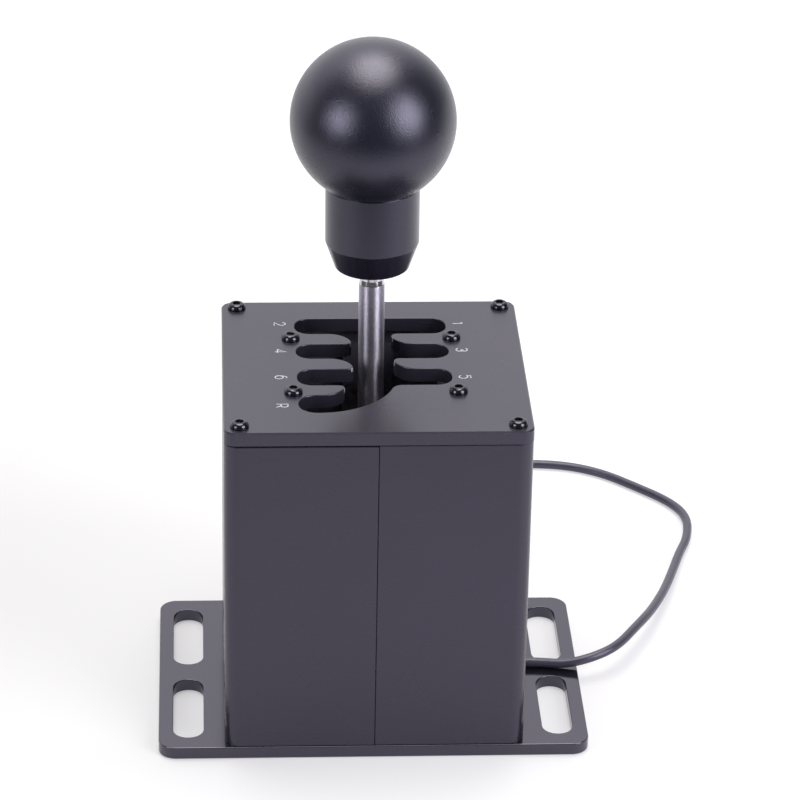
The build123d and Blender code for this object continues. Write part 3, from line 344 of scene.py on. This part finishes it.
def inset(poly, d):
    """Moves each point of a counter-clockwise outline inwards by d, mitred at corners."""
    if abs(d) < 1e-9:
        return list(poly)
    n = len(poly)
    res = []
    for i in range(n):
        p0, p1, p2 = Vector(poly[i - 1]), Vector(poly[i]), Vector(poly[(i + 1) % n])
        e1, e2 = (p1 - p0).normalized(), (p2 - p1).normalized()
        n1, n2 = Vector((-e1.y, e1.x)), Vector((-e2.y, e2.x))
        m = (n1 + n2)
        k = max(0.3, 1 + n1.dot(n2))
        q = p1 + m * (d / k)
        res.append((q.x, q.y))
    return res


def arc(c, r, a0, a1, n):
    return [(c[0] + r * math.cos(math.radians(a0 + (a1 - a0) * i / n)), c[1] + r * math.sin(math.radians(a0 + (a1 - a0) * i / n))) for i in range(n + 1)]


def rounded_rect(w, h, r, cx=0.0, cy=0.0, n=14):
    x, y = w / 2 - r, h / 2 - r
    return (
        arc((cx + x, cy - y), r, -90, 0, n) + arc((cx + x, cy + y), r, 0, 90, n)
        + arc((cx - x, cy + y), r, 90, 180, n) + arc((cx - x, cy - y), r, 180, 270, n)
    )


def circle(cx, cy, r, n=32):
    return [(cx + r * math.cos(2 * math.pi * i / n), cy + r * math.sin(2 * math.pi * i / n)) for i in range(n)]


def rounded_edge(z, r, up=True, n=4):
    """Profile points (inset, z) of a rounded edge that ends on the flat face at z."""
    pts = []
    for i in range(n + 1):
        a = math.pi / 2 * i / n
        pts.append((r * (1 - math.cos(a)), z - r + r * math.sin(a) if up else z + r - r * math.sin(a)))
    return pts if up else pts[::-1]


def prism(name, outer, holes, outer_profile, hole_profiles):
    """A plate: the outline and holes carried up their (inset, z) profiles, closed by flat faces."""
    bm = bmesh.new()
    loops = [(ccw(outer), outer_profile)] + [(ccw(h), p) for h, p in zip(holes, hole_profiles)]
    ends = []
    for k, (poly, profile) in enumerate(loops):
        sign = 1 if k == 0 else -1
        rings = []
        for d, z in profile:
            rings.append([bm.verts.new((x * MM, y * MM, z * MM)) for x, y in inset(poly, sign * d)])
        for a, b in zip(rings, rings[1:]):
            n = len(a)
            for i in range(n):
                quad = (a[i], a[(i + 1) % n], b[(i + 1) % n], b[i])
                bm.faces.new(quad if k == 0 else quad[::-1])
        ends.append((rings[0], rings[-1]))
    for which in (0, 1):
        sets = [e[which] for e in ends]
        flat = [v for s in sets for v in s]
        for t in tessellate_polygon([[v.co.copy() for v in s] for s in sets]):
            try:
                bm.faces.new([flat[i] for i in t])
            except ValueError:
                pass
    return new_object(name, bm)


def lathe(name, profile, n=96, place=None, hexes=None):
    """Revolves (radius, height) points. hexes is a set of profile indices whose ring is a hexagon of that circumradius."""
    bm = bmesh.new()
    rings = []
    for k, (r, z) in enumerate(profile):
        if r < 1e-6:
            rings.append([bm.verts.new((0, 0, z * MM))])
            continue
        ring = []
        for i in range(n):
            a = 2 * math.pi * i / n
            rad = r
            if hexes and k in hexes:
                rad = r * math.cos(math.radians(30)) / math.cos(((a + math.radians(30)) % math.radians(60)) - math.radians(30))
            ring.append(bm.verts.new((rad * math.cos(a) * MM, rad * math.sin(a) * MM, z * MM)))
        rings.append(ring)
    for a, b in zip(rings, rings[1:]):
        for i in range(n):
            j = (i + 1) % n
            if len(a) == 1 and len(b) == 1:
                continue
            if len(a) == 1:
                bm.faces.new((a[0], b[j], b[i]))
            elif len(b) == 1:
                bm.faces.new((a[i], a[j], b[0]))
            else:
                bm.faces.new((a[i], a[j], b[j], b[i]))
    if place is not None:
        bmesh.ops.transform(bm, matrix=place, verts=bm.verts)
    return new_object(name, bm)


def join(name, objects):
    bm = bmesh.new()
    for o in objects:
        bm.from_mesh(o.data)
        me = o.data
        bpy.data.objects.remove(o)
        bpy.data.meshes.remove(me)
    return new_object(name, bm)


# ------------------------------------------------------------------ USB lead
ROUTE = [
    (46.5, 1.3, 5.8), (54.5, 1.3, 5.6), (62.9, -0.4, 5.7), (71.6, 0.3, 7.5), (80.3, 5.3, 8.7),
    (88.1, 19.0, 8.3), (94.0, 31.1, 6.6), (99.9, 46.6, 4.8), (104.4, 61.7, 3.3), (108.7, 77.4, 2.1),
    (113.0, 89.3, 1.6), (114.7, 104.0, 1.5), (109.7, 115.3, 1.5), (98.0, 127.2, 1.5), (88.0, 136.5, 1.5),
    (76.9, 142.0, 1.5), (64.8, 143.9, 1.5), (52.2, 143.5, 1.5), (39.0, 142.8, 1.5), (26.0, 144.0, 1.5),
    (14.0, 144.0, 1.5),
]
TAIL = [(-7.0, 118.0, 6.7), (-7.1, 109.5, 6.7), (-8.1, 100.9, 4.4), (-8.2, 92.0, 4.0)]
COIL = (14.0, 120.0)


def coil_points():
    """Turns of the put-away length: five on the floor, four on them, and one and a quarter on top."""
    radius = [24, 21, 18, 15, 12, 13.5, 16.5, 19.5, 22.5, 21, 21, 21]
    height = [1.5] * 5 + [4.15] * 4 + [6.75] * 3
    pts = []
    for k in range(123):
        turn = (15 + 30 * k) / 360.0
        i, part = int(turn), turn - int(turn)
        s = 0.0 if part < 0.72 else (part - 0.72) / 0.28
        s = s * s * (3 - 2 * s)
        r = radius[i] + (radius[i + 1] - radius[i]) * s
        z = height[i] + (height[i + 1] - height[i]) * s
        r /= math.cos(math.radians(15))
        a = math.radians(105 + 30 * k)
        pts.append((COIL[0] + r * math.cos(a), COIL[1] + r * math.sin(a), z))
    return pts


def make_cord():
    pts = ROUTE[:-1] + coil_points() + TAIL
    data = bpy.data.curves.new("usb_lead", "CURVE")
    data.dimensions = "3D"
    data.bevel_depth = 1.5 * MM
    data.bevel_resolution = 7
    data.use_fill_caps = True
    spline = data.splines.new("NURBS")
    spline.points.add(len(pts) - 1)
    for p, q in zip(spline.points, pts):
        p.co = (q[0] * MM, q[1] * MM, q[2] * MM, 1)
    spline.order_u = 3
    spline.use_endpoint_u = True
    spline.resolution_u = 8
    spline.use_smooth = True
    data.materials.append(MAT["cable"])
    obj = bpy.data.objects.new("usb_lead", data)
    scene.collection.objects.link(obj)
    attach(obj, "root")
    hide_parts("usb_cable", "usb_cable_coil", "usb_cable_tail")


make_cord()

# ------------------------------------------------------------------ base plate
CORNERS = [(x, y) for x in (-41.7, 41.7) for y in (-40.5, 40.5)]
INNERS = [(x, y) for x in (-25.1, 25.1) for y in (-18.4, 18.4)]
FEET = [(x, y) for x in (-25.1, 25.1) for y in (-16.0, 22.0)]


def slot_outline(cx, cy, w, length, n=16):
    s = length / 2 - w / 2
    return arc((cx, cy + s), w / 2, 0, 180, n) + arc((cx, cy - s), w / 2, 180, 360, n)


slots = [slot_outline(x, y, 9.5, 34.5) for x in (-57.75, 57.75) for y in (-22.0, 22.0)]
screw_holes = [circle(x, y, 1.6) for x, y in CORNERS + FEET]
base = prism(
    "base_plate_body",
    rounded_rect(134, 91, 5.5),
    slots + screw_holes,
    rounded_edge(0, 0.35, up=False) + rounded_edge(4, 0.32),
    [rounded_edge(0, 0.2, up=False, n=3) + rounded_edge(4, 0.22, n=3)] * 4 + [[(1.5, 0), (0, 1.5), (0, 4)]] * 8,
)
finish_mesh(base, "base", "root", "base_plate")

# ------------------------------------------------------------------ housing halves


def housing_outline(side):
    """U-shaped section of one half, for side -1 (left) or 1 (right), with its screw posts."""
    g, c = 0.045, 0.14
    pts = [(g + c, -45.0)]
    pts += arc((42.0, -40.5), 4.5, -90, 0, 16) + arc((42.0, 40.5), 4.5, 0, 90, 16)
    pts += [(g + c, 45.0), (g, 45.0 - c), (g, 41.5)]
    pts += [(37.0, 41.5), (37.0, 36.0), (43.0, 36.0), (43.0, -36.0), (37.0, -36.0), (37.0, -41.5)]
    pts += [(g, -41.5), (g, -45.0 + c)]
    return [(side * x, y) for x, y in pts]


def line_inside(o):
    """The housing's inner faces get a lighter matt grey, painted light for the light that reaches in through the gate.
    """
    o.data.materials.append(MAT["inner"])
    for face in o.data.polygons:
        x, y, _ = face.center / MM
        if abs(face.normal.z) < 0.5 and max(abs(x) - 43.2, abs(y) - 41.7) < 0 and abs(x) > 0.4:
            face.material_index = 1


def housing(side, top):
    o = prism(
        "housing_half_left" if side < 0 else "housing_half_right",
        housing_outline(side), [],
        rounded_edge(4, 0.15, up=False, n=2) + rounded_edge(top, 0.25, n=3), [],
    )
    return o


left = housing(-1, 108.7)
finish_mesh(left, "housing", "root", "housing_left", sharp=28)
line_inside(left)
right = housing(1, 109.0)
# the grommet's notch
EXIT = (1.3, 5.8)
ALONG_X = Matrix(((0, 0, 1, 0), (1, 0, 0, 0), (0, 1, 0, 0), (0, 0, 0, 1)))


def arch(name, r, foot, profile, hole_profile=None):
    """An arched bar along X: profile gives (inset, x). Its legs end on the flat at z = foot."""
    y, z = EXIT
    outline = arc((y, z), r, 0, 180, 24) + [(y - r, foot), (y + r, foot)]
    holes = [circle(y, z, 1.52, 40)] if hole_profile else []
    o = prism(name, outline, holes, profile, [hole_profile] if hole_profile else [])
    o.data.transform(ALONG_X)
    return o


cutter = arch("cutter", 2.55, 3.0, [(0, 38), (0, 50)])
boolean = right.modifiers.new("hole", "BOOLEAN")
boolean.operation = "DIFFERENCE"
boolean.solver = "EXACT"
boolean.object = cutter
cut = bpy.data.meshes.new_from_object(right.evaluated_get(bpy.context.evaluated_depsgraph_get()))
right.modifiers.clear()
right.data = cut
bpy.data.objects.remove(cutter)
finish_mesh(right, "housing", "root", "housing_right", sharp=28)
line_inside(right)

# grommet: flange inside, small rounded lip outside
grommet = join("lead_grommet", [
    arch("grommet_flange", 2.93, 4.04, [(0.1, 42.02), (0, 42.12), (0, 42.95)], [(0, 42.02), (0, 42.95)]),
    arch("grommet_body", 2.5, 4.04, [(0, 42.95), (0, 46.55)], [(0, 42.95), (0, 46.55)]),
    arch("grommet_lip", 2.85, 4.04, [(0, 46.55), (0, 46.8), (0.08, 46.98), (0.25, 47.08)], [(0, 46.55), (0, 46.95), (-0.08, 47.08)]),
])
finish_mesh(grommet, "rubber", "root", "cable_grommet")

# ------------------------------------------------------------------ gate plate


def smooth_corner(pts, k, t, n=8):
    """Rounds the corner at index k of a closed outline, starting t away from it on both sides."""

    def walk(step):
        left, i = t, k
        while True:
            a, b = Vector(pts[i]), Vector(pts[(i + step) % len(pts)])
            d = (b - a).length
            if d >= left:
                return a + (b - a) * (left / d), (i + step) % len(pts)
            left -= d
            i = (i + step) % len(pts)

    p0, i0 = walk(-1)
    p2, i2 = walk(1)
    p1 = Vector(pts[k])
    h = (p0 - p1).length
    half = math.acos(max(-1, min(1, (p1 - p0).normalized().dot((p2 - p1).normalized())))) / 2
    w = math.cos(half)
    new = []
    for i in range(n + 1):
        s = i / n
        b0, b1, b2 = (1 - s) ** 2, 2 * s * (1 - s) * w, s * s
        q = (p0 * b0 + p1 * b1 + p2 * b2) / (b0 + b1 + b2)
        new.append((q.x, q.y))
    kept = []
    i = i2
    while True:
        kept.append(pts[i])
        if i == i0:
            break
        i = (i + 1) % len(pts)
    return kept + new


def gate_outline():
    E, far12, far34, far56, near56 = 23.7, 32.55, 14.45, -2.8, -13.45
    near12, near34 = far34 + 7.5, far56 + 7.5
    rc, bc, br = (-16.3, -12.6), (-17.5, -7.7), 23.9
    tip = rc[0] + math.sqrt(7.5**2 - (near56 - rc[1]) ** 2)
    big = bc[0] + math.sqrt(br**2 - (near56 - bc[1]) ** 2)
    a_tip = math.degrees(math.atan2(near56 - rc[1], tip - rc[0]))
    a_big = math.degrees(math.atan2(near56 - bc[1], big - bc[0]))
    pts, corner = [], {}

    def p(x, y, t=0.0):
        if t:
            corner[(round(x, 4), round(y, 4))] = t
        pts.append((x, y))

    r = 4.7
    p(-E, far12, r), p(-E, near12, r)
    pts.extend(arc((-13.5, far34), 7.5, 90, 0, 20)[:-1]), p(-6.0, far34, 2.2)
    p(-E, far34, r), p(-E, near34, r)
    pts.extend(arc((-13.5, far56), 7.5, 90, 0, 20)[:-1]), p(-6.0, far56, 2.2)
    p(-E, far56, r), p(-E, near56, r)
    p(tip, near56, 2.2)
    pts.extend(arc(rc, 7.5, a_tip, -90, 20)[1:])
    p(-E, -20.1, 5.6), p(-E, -31.6, 5.6)
    pts.extend(arc(bc, br, -90, a_big, 40)[:-1]), p(big, near56, 2.6)
    p(E, near56, r), p(E, far56, r)
    pts.extend(arc((13.5, near34), 7.5, 270, 180, 20)[:-1]), p(6.0, near34, 2.2)
    p(E, near34, r), p(E, far34, r)
    pts.extend(arc((13.5, near12), 7.5, 270, 180, 20)[:-1]), p(6.0, near12, 2.2)
    p(E, near12, r), p(E, far12, r)
    done = True
    for (cx, cy), t in corner.items():
        k = min(range(len(pts)), key=lambda i: math.hypot(pts[i][0] - cx, pts[i][1] - cy))
        pts = smooth_corner(pts, k, t, 12 if t > 2 else 7)
    return pts


gate = gate_outline()
lid = prism(
    "gate_plate_body",
    rounded_rect(93, 90, 3.5, n=16),
    [gate] + [circle(x, y, 1.6) for x, y in CORNERS + INNERS],
    [(0.2, 109.0), (0.0, 109.2), (0.0, 113.08), (0.42, 113.5)],
    [rounded_edge(109, 0.12, up=False, n=2) + [(0.0, 112.1)] + rounded_edge(113.5, 0.36, n=5)] + [[(0.0, 109.0), (0.0, 113.3), (0.2, 113.5)]] * 8,
)
finish_mesh(lid, "lid", "root", "gate_plate", sharp=30)
# painted highlight: pale grey patches on the tongues' tips stand in for the glints of light there
lid.data.materials.append(MAT["painted_tip_glint"])
near = [f for f in lid.data.polygons if 112.2 < f.center.z / MM < 113.4 and abs(f.normal.z) < 0.8]
for tip in ((-6.3, 15.3), (-6.2, -2.2), (-8.9, -16.3), (6.3, 18.7), (6.2, 1.7)):
    first = min(near, key=lambda f: (f.center.xy / MM - Vector(tip)).length).center.xy.copy()
    for face in near:
        if (face.center.xy - first).length < 0.36 * MM:
            face.material_index = 1

# ------------------------------------------------------------------ button-head screws


def button_head(x, y, turn):
    """A domed head with a hexagon socket, and the shank below it."""
    z = 113.5
    prof = [(0, -12.0), (1.3, -12.0), (1.5, -11.7), (1.5, 0.0), (2.6, 0.0), (2.8, 0.06), (2.85, 0.2)]
    for i in range(1, 11):
        a = math.radians(9 * i)
        prof.append((1.5 + 1.35 * math.cos(a), 0.25 + 1.62 * math.sin(a)))
    first_hex = len(prof)
    prof += [(1.42, 1.86), (1.34, 1.79), (1.3, 1.68), (1.3, 0.95), (1.24, 0.86), (0.0, 0.4)]
    hexes = set(range(first_hex, first_hex + 5))
    place = Matrix.Translation((x * MM, y * MM, z * MM)) @ Matrix.Rotation(turn, 4, "Z")
    return lathe("screw", prof, 72, place, hexes)


heads = [button_head(x, y, t) for (x, y), t in zip(CORNERS, (0.2, 0.45, 0.12, 0.36))]
finish_mesh(join("gate_corner_screw_set", heads), "screw", "root", "gate_corner_screws", sharp=35)
heads = [button_head(x, y, t) for (x, y), t in zip(INNERS, (0.38, 0.1, 0.28, 0.5))]
finish_mesh(join("gate_inner_screw_set", heads), "screw", "root", "gate_inner_screws", sharp=35)

# ------------------------------------------------------------------ lever
lean = math.radians(0.3)
LEVER = Matrix(
    (
        (math.cos(lean), 0, -math.sin(lean), 0),
        (0, 1, 0, 9.6 * MM),
        (math.sin(lean), 0, math.cos(lean), 42 * MM),
        (0, 0, 0, 1),
    )
)
shaft = lathe(
    "lever_rod",
    [(0, 4.8), (3.5, 4.8), (4.0, 5.3)] + [(4.0, 5.3 + 89.7 * i / 24) for i in range(1, 25)]
    + [(3.97, 95.05), (3.93, 95.1), (3.62, 96.55), (3.58, 96.7), (3.58, 100.1), (3.0, 100.5), (3.0, 115.5), (2.5, 116), (0, 116)],
    128, LEVER,
)
finish_mesh(shaft, "shaft", "lever", "lever_shaft", sharp=25)
# the chamfer and the neck under the collar are polished
shaft.data.materials.append(MAT["bright"])
back_to_axis = LEVER.inverted()
for face in shaft.data.polygons:
    if 95.05 < (back_to_axis @ face.center).z / MM < 100.7:
        face.material_index = 1

collar_profile = [(8.0, 101.15)]
for i in range(8):
    a = math.radians(-90 + i * 71 / 7)
    collar_profile.append((11.114 + 0.5 * math.cos(a), 101.65 + 0.5 * math.sin(a)))
collar_profile += [(14.32, 109.42), (14.38, 109.6), (14.4, 109.8), (14.4, 118.0), (14.4, 127.9), (14.38, 128.08), (14.3, 128.2), (14.16, 128.27),
                   (13.9, 128.3), (6.0, 128.3), (6.0, 139.3), (5.2, 140.1), (0, 140.1), (0, 118.15), (8.0, 118.15), (8.0, 101.15)]
collar = lathe("knob_collar_body", collar_profile, 128, LEVER)
finish_mesh(collar, "collar", "lever", "knob_collar", sharp=24)

ball_profile = [(0, 141.3), (6.05, 141.3), (6.05, 128.55), (6.25, 128.33), (14.05, 128.33), (14.3, 128.4)]
a0 = math.degrees(math.asin(-20.4 / 25.2))
for i in range(97):
    a = math.radians(a0 + (90 - a0) * i / 96)
    ball_profile.append((25.2 * math.cos(a) if i < 96 else 0.0, 149.0 + 25.2 * math.sin(a)))
ball = lathe("knob_ball_body", ball_profile, 144, LEVER)
finish_mesh(ball, "ball", "lever", "knob_ball", sharp=40)

# ------------------------------------------------------------------ gate numbers


def strokes(name, lines, cx, cy, width=0.36):
    """Flat pen strokes on the gate plate. Lines are in glyph space: right is -Y and up is +X."""
    bm = bmesh.new()
    for k, line in enumerate(lines):
        z0, z1 = 113.5, 113.53 + 0.012 * k  # each line a little above the one before, where they cross
        pts = [Vector((cx + v, cy - u)) for u, v in line]
        closed = (pts[0] - pts[-1]).length < 1e-6
        if closed:
            pts = pts[:-1]
        n = len(pts)
        left, right = [], []
        for i in range(n):
            a = pts[i - 1] if (i > 0 or closed) else pts[i]
            b = pts[(i + 1) % n] if (i < n - 1 or closed) else pts[i]
            t = (b - a).normalized()
            nrm = Vector((-t.y, t.x)) * width / 2
            left.append(pts[i] + nrm)
            right.append(pts[i] - nrm)
        rows = []
        for l, r in zip(left, right):
            rows.append([bm.verts.new((p.x * MM, p.y * MM, z * MM)) for p, z in ((l, z0), (l, z1), (r, z1), (r, z0))])
        m = n if closed else n - 1
        for i in range(m):
            a, b = rows[i], rows[(i + 1) % n]
            for j in range(4):
                bm.faces.new((a[j], a[(j + 1) % 4], b[(j + 1) % 4], b[j]))
        if not closed:
            bm.faces.new(rows[0])
            bm.faces.new(rows[-1][::-1])
    o = new_object(name, bm)
    finish_mesh(o, "ink", "root", sharp=30, weighted=False)
    return o


H, W = 3.5, 2.25
h, w = H / 2, W / 2


def bend(cx, cy, rx, ry, a0, a1, n=14):
    return [(cx + rx * math.cos(math.radians(a0 + (a1 - a0) * i / n)), cy + ry * math.sin(math.radians(a0 + (a1 - a0) * i / n))) for i in range(n + 1)]


GLYPHS = {
    "1": [[(-0.75, h - 0.95), (-0.1, h - 0.3), (0.0, h), (0.0, -h)]],
    "2": [bend(0, h - 1.2, w - 0.1, 1.2, 165, -35) + [(-w + 0.1, -h), (w, -h)]],
    "3": [bend(0, h - 1.05, w - 0.15, 1.05, 150, -80) + bend(0, -h + 1.1, w - 0.05, 1.1, 85, -150)],
    "4": [[(0.55, -h), (0.55, h), (-w, -0.9)], [(-w, -0.9), (w, -0.9)]],
    "5": [[(w - 0.2, h), (-w + 0.35, h), (-w + 0.15, 0.15)] + bend(0, -h + 1.25, w - 0.05, 1.3, 118, -150)],
    "6": [[(w - 0.45, h - 0.05)] + bend(0.35, -0.6, w + 0.3, 2.6, 108, 180, 8), bend(0, -h + 1.25, w - 0.05, 1.25, 180, 540, 28)],
    "R": [[(-w + 0.1, -h), (-w + 0.1, h), (0.2, h)] + bend(0.2, h - 1.05, w - 0.35, 1.05, 90, -90) + [(-w + 0.1, h - 2.1)], [(0.1, h - 2.1), (w, -h)]],
}
PLACES = {"2": (-28.3, 29.0), "4": (-28.5, 9.9), "6": (-28.75, -8.1), "R": (-28.7, -27.0), "1": (27.8, 28.6), "3": (27.8, 10.1), "5": (27.7, -8.5)}
for g, (x, y) in PLACES.items():
    strokes("gate_mark_" + g, GLYPHS[g], x, y)

# ------------------------------------------------------------------ surroundings
floor_bm = bmesh.new()
bmesh.ops.create_grid(floor_bm, x_segments=8, y_segments=8, size=3.0)
floor = new_object("floor", floor_bm)
floor.location.z = -0.0002


def sweep_material():
    """Pale paper: white round the object and behind it, out of the light further forward."""
    mat = bpy.data.materials.new("white_sweep")
    mat.use_nodes = True
    nt = mat.node_tree
    bsdf = nt.nodes["Principled BSDF"]
    bsdf.inputs["Roughness"].default_value = 0.7
    bsdf.inputs["IOR"].default_value = 1.3
    tc = nt.nodes.new("ShaderNodeTexCoord")
    mp = nt.nodes.new("ShaderNodeMapping")
    mp.inputs["Location"].default_value = (0, -PAPER_Y, 0)
    nt.links.new(tc.outputs["Object"], mp.inputs[0])
    sep = nt.nodes.new("ShaderNodeSeparateXYZ")
    nt.links.new(mp.outputs[0], sep.inputs[0])
    front = nt.nodes.new("ShaderNodeMath")
    front.operation = "MINIMUM"
    front.inputs[1].default_value = 0.0
    nt.links.new(sep.outputs["Y"], front.inputs[0])
    side = nt.nodes.new("ShaderNodeMath")
    side.operation = "MULTIPLY"
    nt.links.new(front.outputs[0], side.inputs[0])
    nt.links.new(front.outputs[0], side.inputs[1])
    xx = nt.nodes.new("ShaderNodeMath")
    xx.operation = "MULTIPLY_ADD"
    nt.links.new(sep.outputs["X"], xx.inputs[0])
    nt.links.new(sep.outputs["X"], xx.inputs[1])
    nt.links.new(side.outputs[0], xx.inputs[2])
    rad = nt.nodes.new("ShaderNodeMath")
    rad.operation = "SQRT"
    nt.links.new(xx.outputs[0], rad.inputs[0])
    white = nt.nodes.new("ShaderNodeMapRange")
    white.interpolation_type = "SMOOTHSTEP"
    white.inputs["From Min"].default_value = PAPER_R[0]
    white.inputs["From Max"].default_value = PAPER_R[1]
    white.inputs["To Min"].default_value = 1.0
    white.inputs["To Max"].default_value = 0.0
    nt.links.new(rad.outputs[0], white.inputs["Value"])
    behind = nt.nodes.new("ShaderNodeMath")
    behind.operation = "GREATER_THAN"
    behind.inputs[1].default_value = 0.0
    nt.links.new(sep.outputs["Y"], behind.inputs[0])
    lit = nt.nodes.new("ShaderNodeMath")
    lit.operation = "MAXIMUM"
    nt.links.new(white.outputs[0], lit.inputs[0])
    nt.links.new(behind.outputs[0], lit.inputs[1])
    noise = nt.nodes.new("ShaderNodeTexNoise")
    noise.inputs["Scale"].default_value = 3.0
    nt.links.new(tc.outputs["Object"], noise.inputs["Vector"])
    drift = nt.nodes.new("ShaderNodeMapRange")
    drift.inputs["To Min"].default_value = PAPER * 0.99
    drift.inputs["To Max"].default_value = PAPER * 1.01
    nt.links.new(noise.outputs["Fac"], drift.inputs["Value"])
    tone = nt.nodes.new("ShaderNodeMix")
    tone.data_type = "RGBA"
    tone.inputs[6].default_value = (0.05, 0.05, 0.055, 1)
    nt.links.new(lit.outputs[0], tone.inputs[0])
    nt.links.new(drift.outputs[0], tone.inputs[7])
    nt.links.new(tone.outputs[2], bsdf.inputs["Base Color"])
    # painted light: the paper glows where it lies in the light
    glow = nt.nodes.new("ShaderNodeMath")
    glow.operation = "MULTIPLY"
    glow.inputs[1].default_value = GLOW
    nt.links.new(lit.outputs[0], glow.inputs[0])
    bsdf.inputs["Emission Color"].default_value = (0.97, 0.96, 1.03, 1)
    # a little more light on the right, in front and behind
    both = glow
    for axis, ends in (
        ("X", (-0.12, 0.12, 0.82, 1.20)), ("Y", (-0.11 - PAPER_Y, -0.045 - PAPER_Y, 1.3, 1.0)),
        ("Y", (0.06 - PAPER_Y, 0.25 - PAPER_Y, 1.0, 1.35)),
    ):
        slope = nt.nodes.new("ShaderNodeMapRange")
        for name, value in zip(("From Min", "From Max", "To Min", "To Max"), ends):
            slope.inputs[name].default_value = value
        nt.links.new(sep.outputs[axis], slope.inputs["Value"])
        before = both
        both = nt.nodes.new("ShaderNodeMath")
        both.operation = "MULTIPLY"
        nt.links.new(before.outputs[0], both.inputs[0])
        nt.links.new(slope.outputs[0], both.inputs[1])
    nt.links.new(both.outputs[0], bsdf.inputs["Emission Strength"])
    return mat


PAPER, GLOW, PAPER_Y, PAPER_R = 0.33, 0.42, 0.35, (0.58, 0.85)
floor.data.materials.append(sweep_material())

world = bpy.data.worlds.new("studio")
scene.world = world
world.use_nodes = True
wt = world.node_tree
wt.nodes.clear()
wout = wt.nodes.new("ShaderNodeOutputWorld")
tcw = wt.nodes.new("ShaderNodeTexCoord")
turned = wt.nodes.new("ShaderNodeMapping")
turned.vector_type = "POINT"
turned.inputs["Rotation"].default_value = (0, 0, math.radians(-10))
wt.links.new(tcw.outputs["Generated"], turned.inputs[0])
sep = wt.nodes.new("ShaderNodeSeparateXYZ")
wt.links.new(turned.outputs[0], sep.inputs[0])


def world_range(source, lo, hi, a, b):
    node = wt.nodes.new("ShaderNodeMapRange")
    node.interpolation_type = "SMOOTHSTEP"
    for name, value in (("From Min", lo), ("From Max", hi), ("To Min", a), ("To Max", b)):
        node.inputs[name].default_value = value
    wt.links.new(source, node.inputs["Value"])
    return node.outputs[0]


# the room is dark on the camera's side, and a pale wall stands behind the object, brighter higher up
wall = world_range(sep.outputs["Y"], 0.05, 0.72, 0.13, 1.25)
higher = world_range(sep.outputs["Z"], 0.45, 0.95, 1.0, 2.2)
dimmer = world_range(sep.outputs["X"], 0.35, 0.85, 1.0, 0.6)
strength = wt.nodes.new("ShaderNodeMath")
strength.operation = "MULTIPLY"
wt.links.new(wall, strength.inputs[0])
wt.links.new(higher, strength.inputs[1])
less = wt.nodes.new("ShaderNodeMath")
less.operation = "MULTIPLY"
wt.links.new(strength.outputs[0], less.inputs[0])
wt.links.new(dimmer, less.inputs[1])
room = wt.nodes.new("ShaderNodeBackground")
room.inputs["Color"].default_value = (0.99, 0.98, 1.0, 1)
wt.links.new(less.outputs[0], room.inputs["Strength"])
seen = wt.nodes.new("ShaderNodeBackground")
seen.inputs["Color"].default_value = (1, 1, 1, 1)
seen.inputs["Strength"].default_value = 1.2
path = wt.nodes.new("ShaderNodeLightPath")
mixw = wt.nodes.new("ShaderNodeMixShader")
wt.links.new(path.outputs["Is Camera Ray"], mixw.inputs[0])
wt.links.new(room.outputs[0], mixw.inputs[1])
wt.links.new(seen.outputs[0], mixw.inputs[2])
wt.links.new(mixw.outputs[0], wout.inputs[0])


def softbox(name, az, el, dist, half_w, half_h, radiance, color=(1, 1, 1), target=(0, 0.01, 0.18)):
    """An oval lamp seen from the knob at az, el, with half sizes in degrees."""
    a, e = math.radians(az), math.radians(el)
    d = Vector((math.sin(a) * math.cos(e), -math.cos(a) * math.cos(e), math.sin(e)))
    data = bpy.data.lights.new(name, "AREA")
    data.shape = "ELLIPSE"
    data.size = 2 * dist * math.tan(math.radians(half_w))
    data.size_y = 2 * dist * math.tan(math.radians(half_h))
    data.energy = radiance * math.pi * (math.pi / 4 * data.size * data.size_y)
    data.color = color
    o = bpy.data.objects.new(name, data)
    scene.collection.objects.link(o)
    o.location = Vector(target) + d * dist
    o.rotation_euler = d.to_track_quat("Z", "Y").to_euler()
    return o


softbox("top_softbox", 172, 84, 1.3, 22, 25, 7.0, (1.0, 0.975, 0.87))
softbox("left_softbox", -52, 16, 1.6, 15, 16, 7.0, (0.97, 0.97, 1.0))
softbox("right_softbox", 50, 22, 1.6, 18, 23, 7.8, (0.97, 0.97, 1.0))

# ------------------------------------------------------------------ centring springs
# a copy of the springs as one mesh with its placement baked in, and the imported part hidden
spring_node = NODES["lane_centring_springs"]
springs = bpy.data.objects.new("centring_springs", spring_node.data.copy())
scene.collection.objects.link(springs)
springs.matrix_world = spring_node.matrix_world.copy()
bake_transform(springs)
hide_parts("lane_centring_springs")
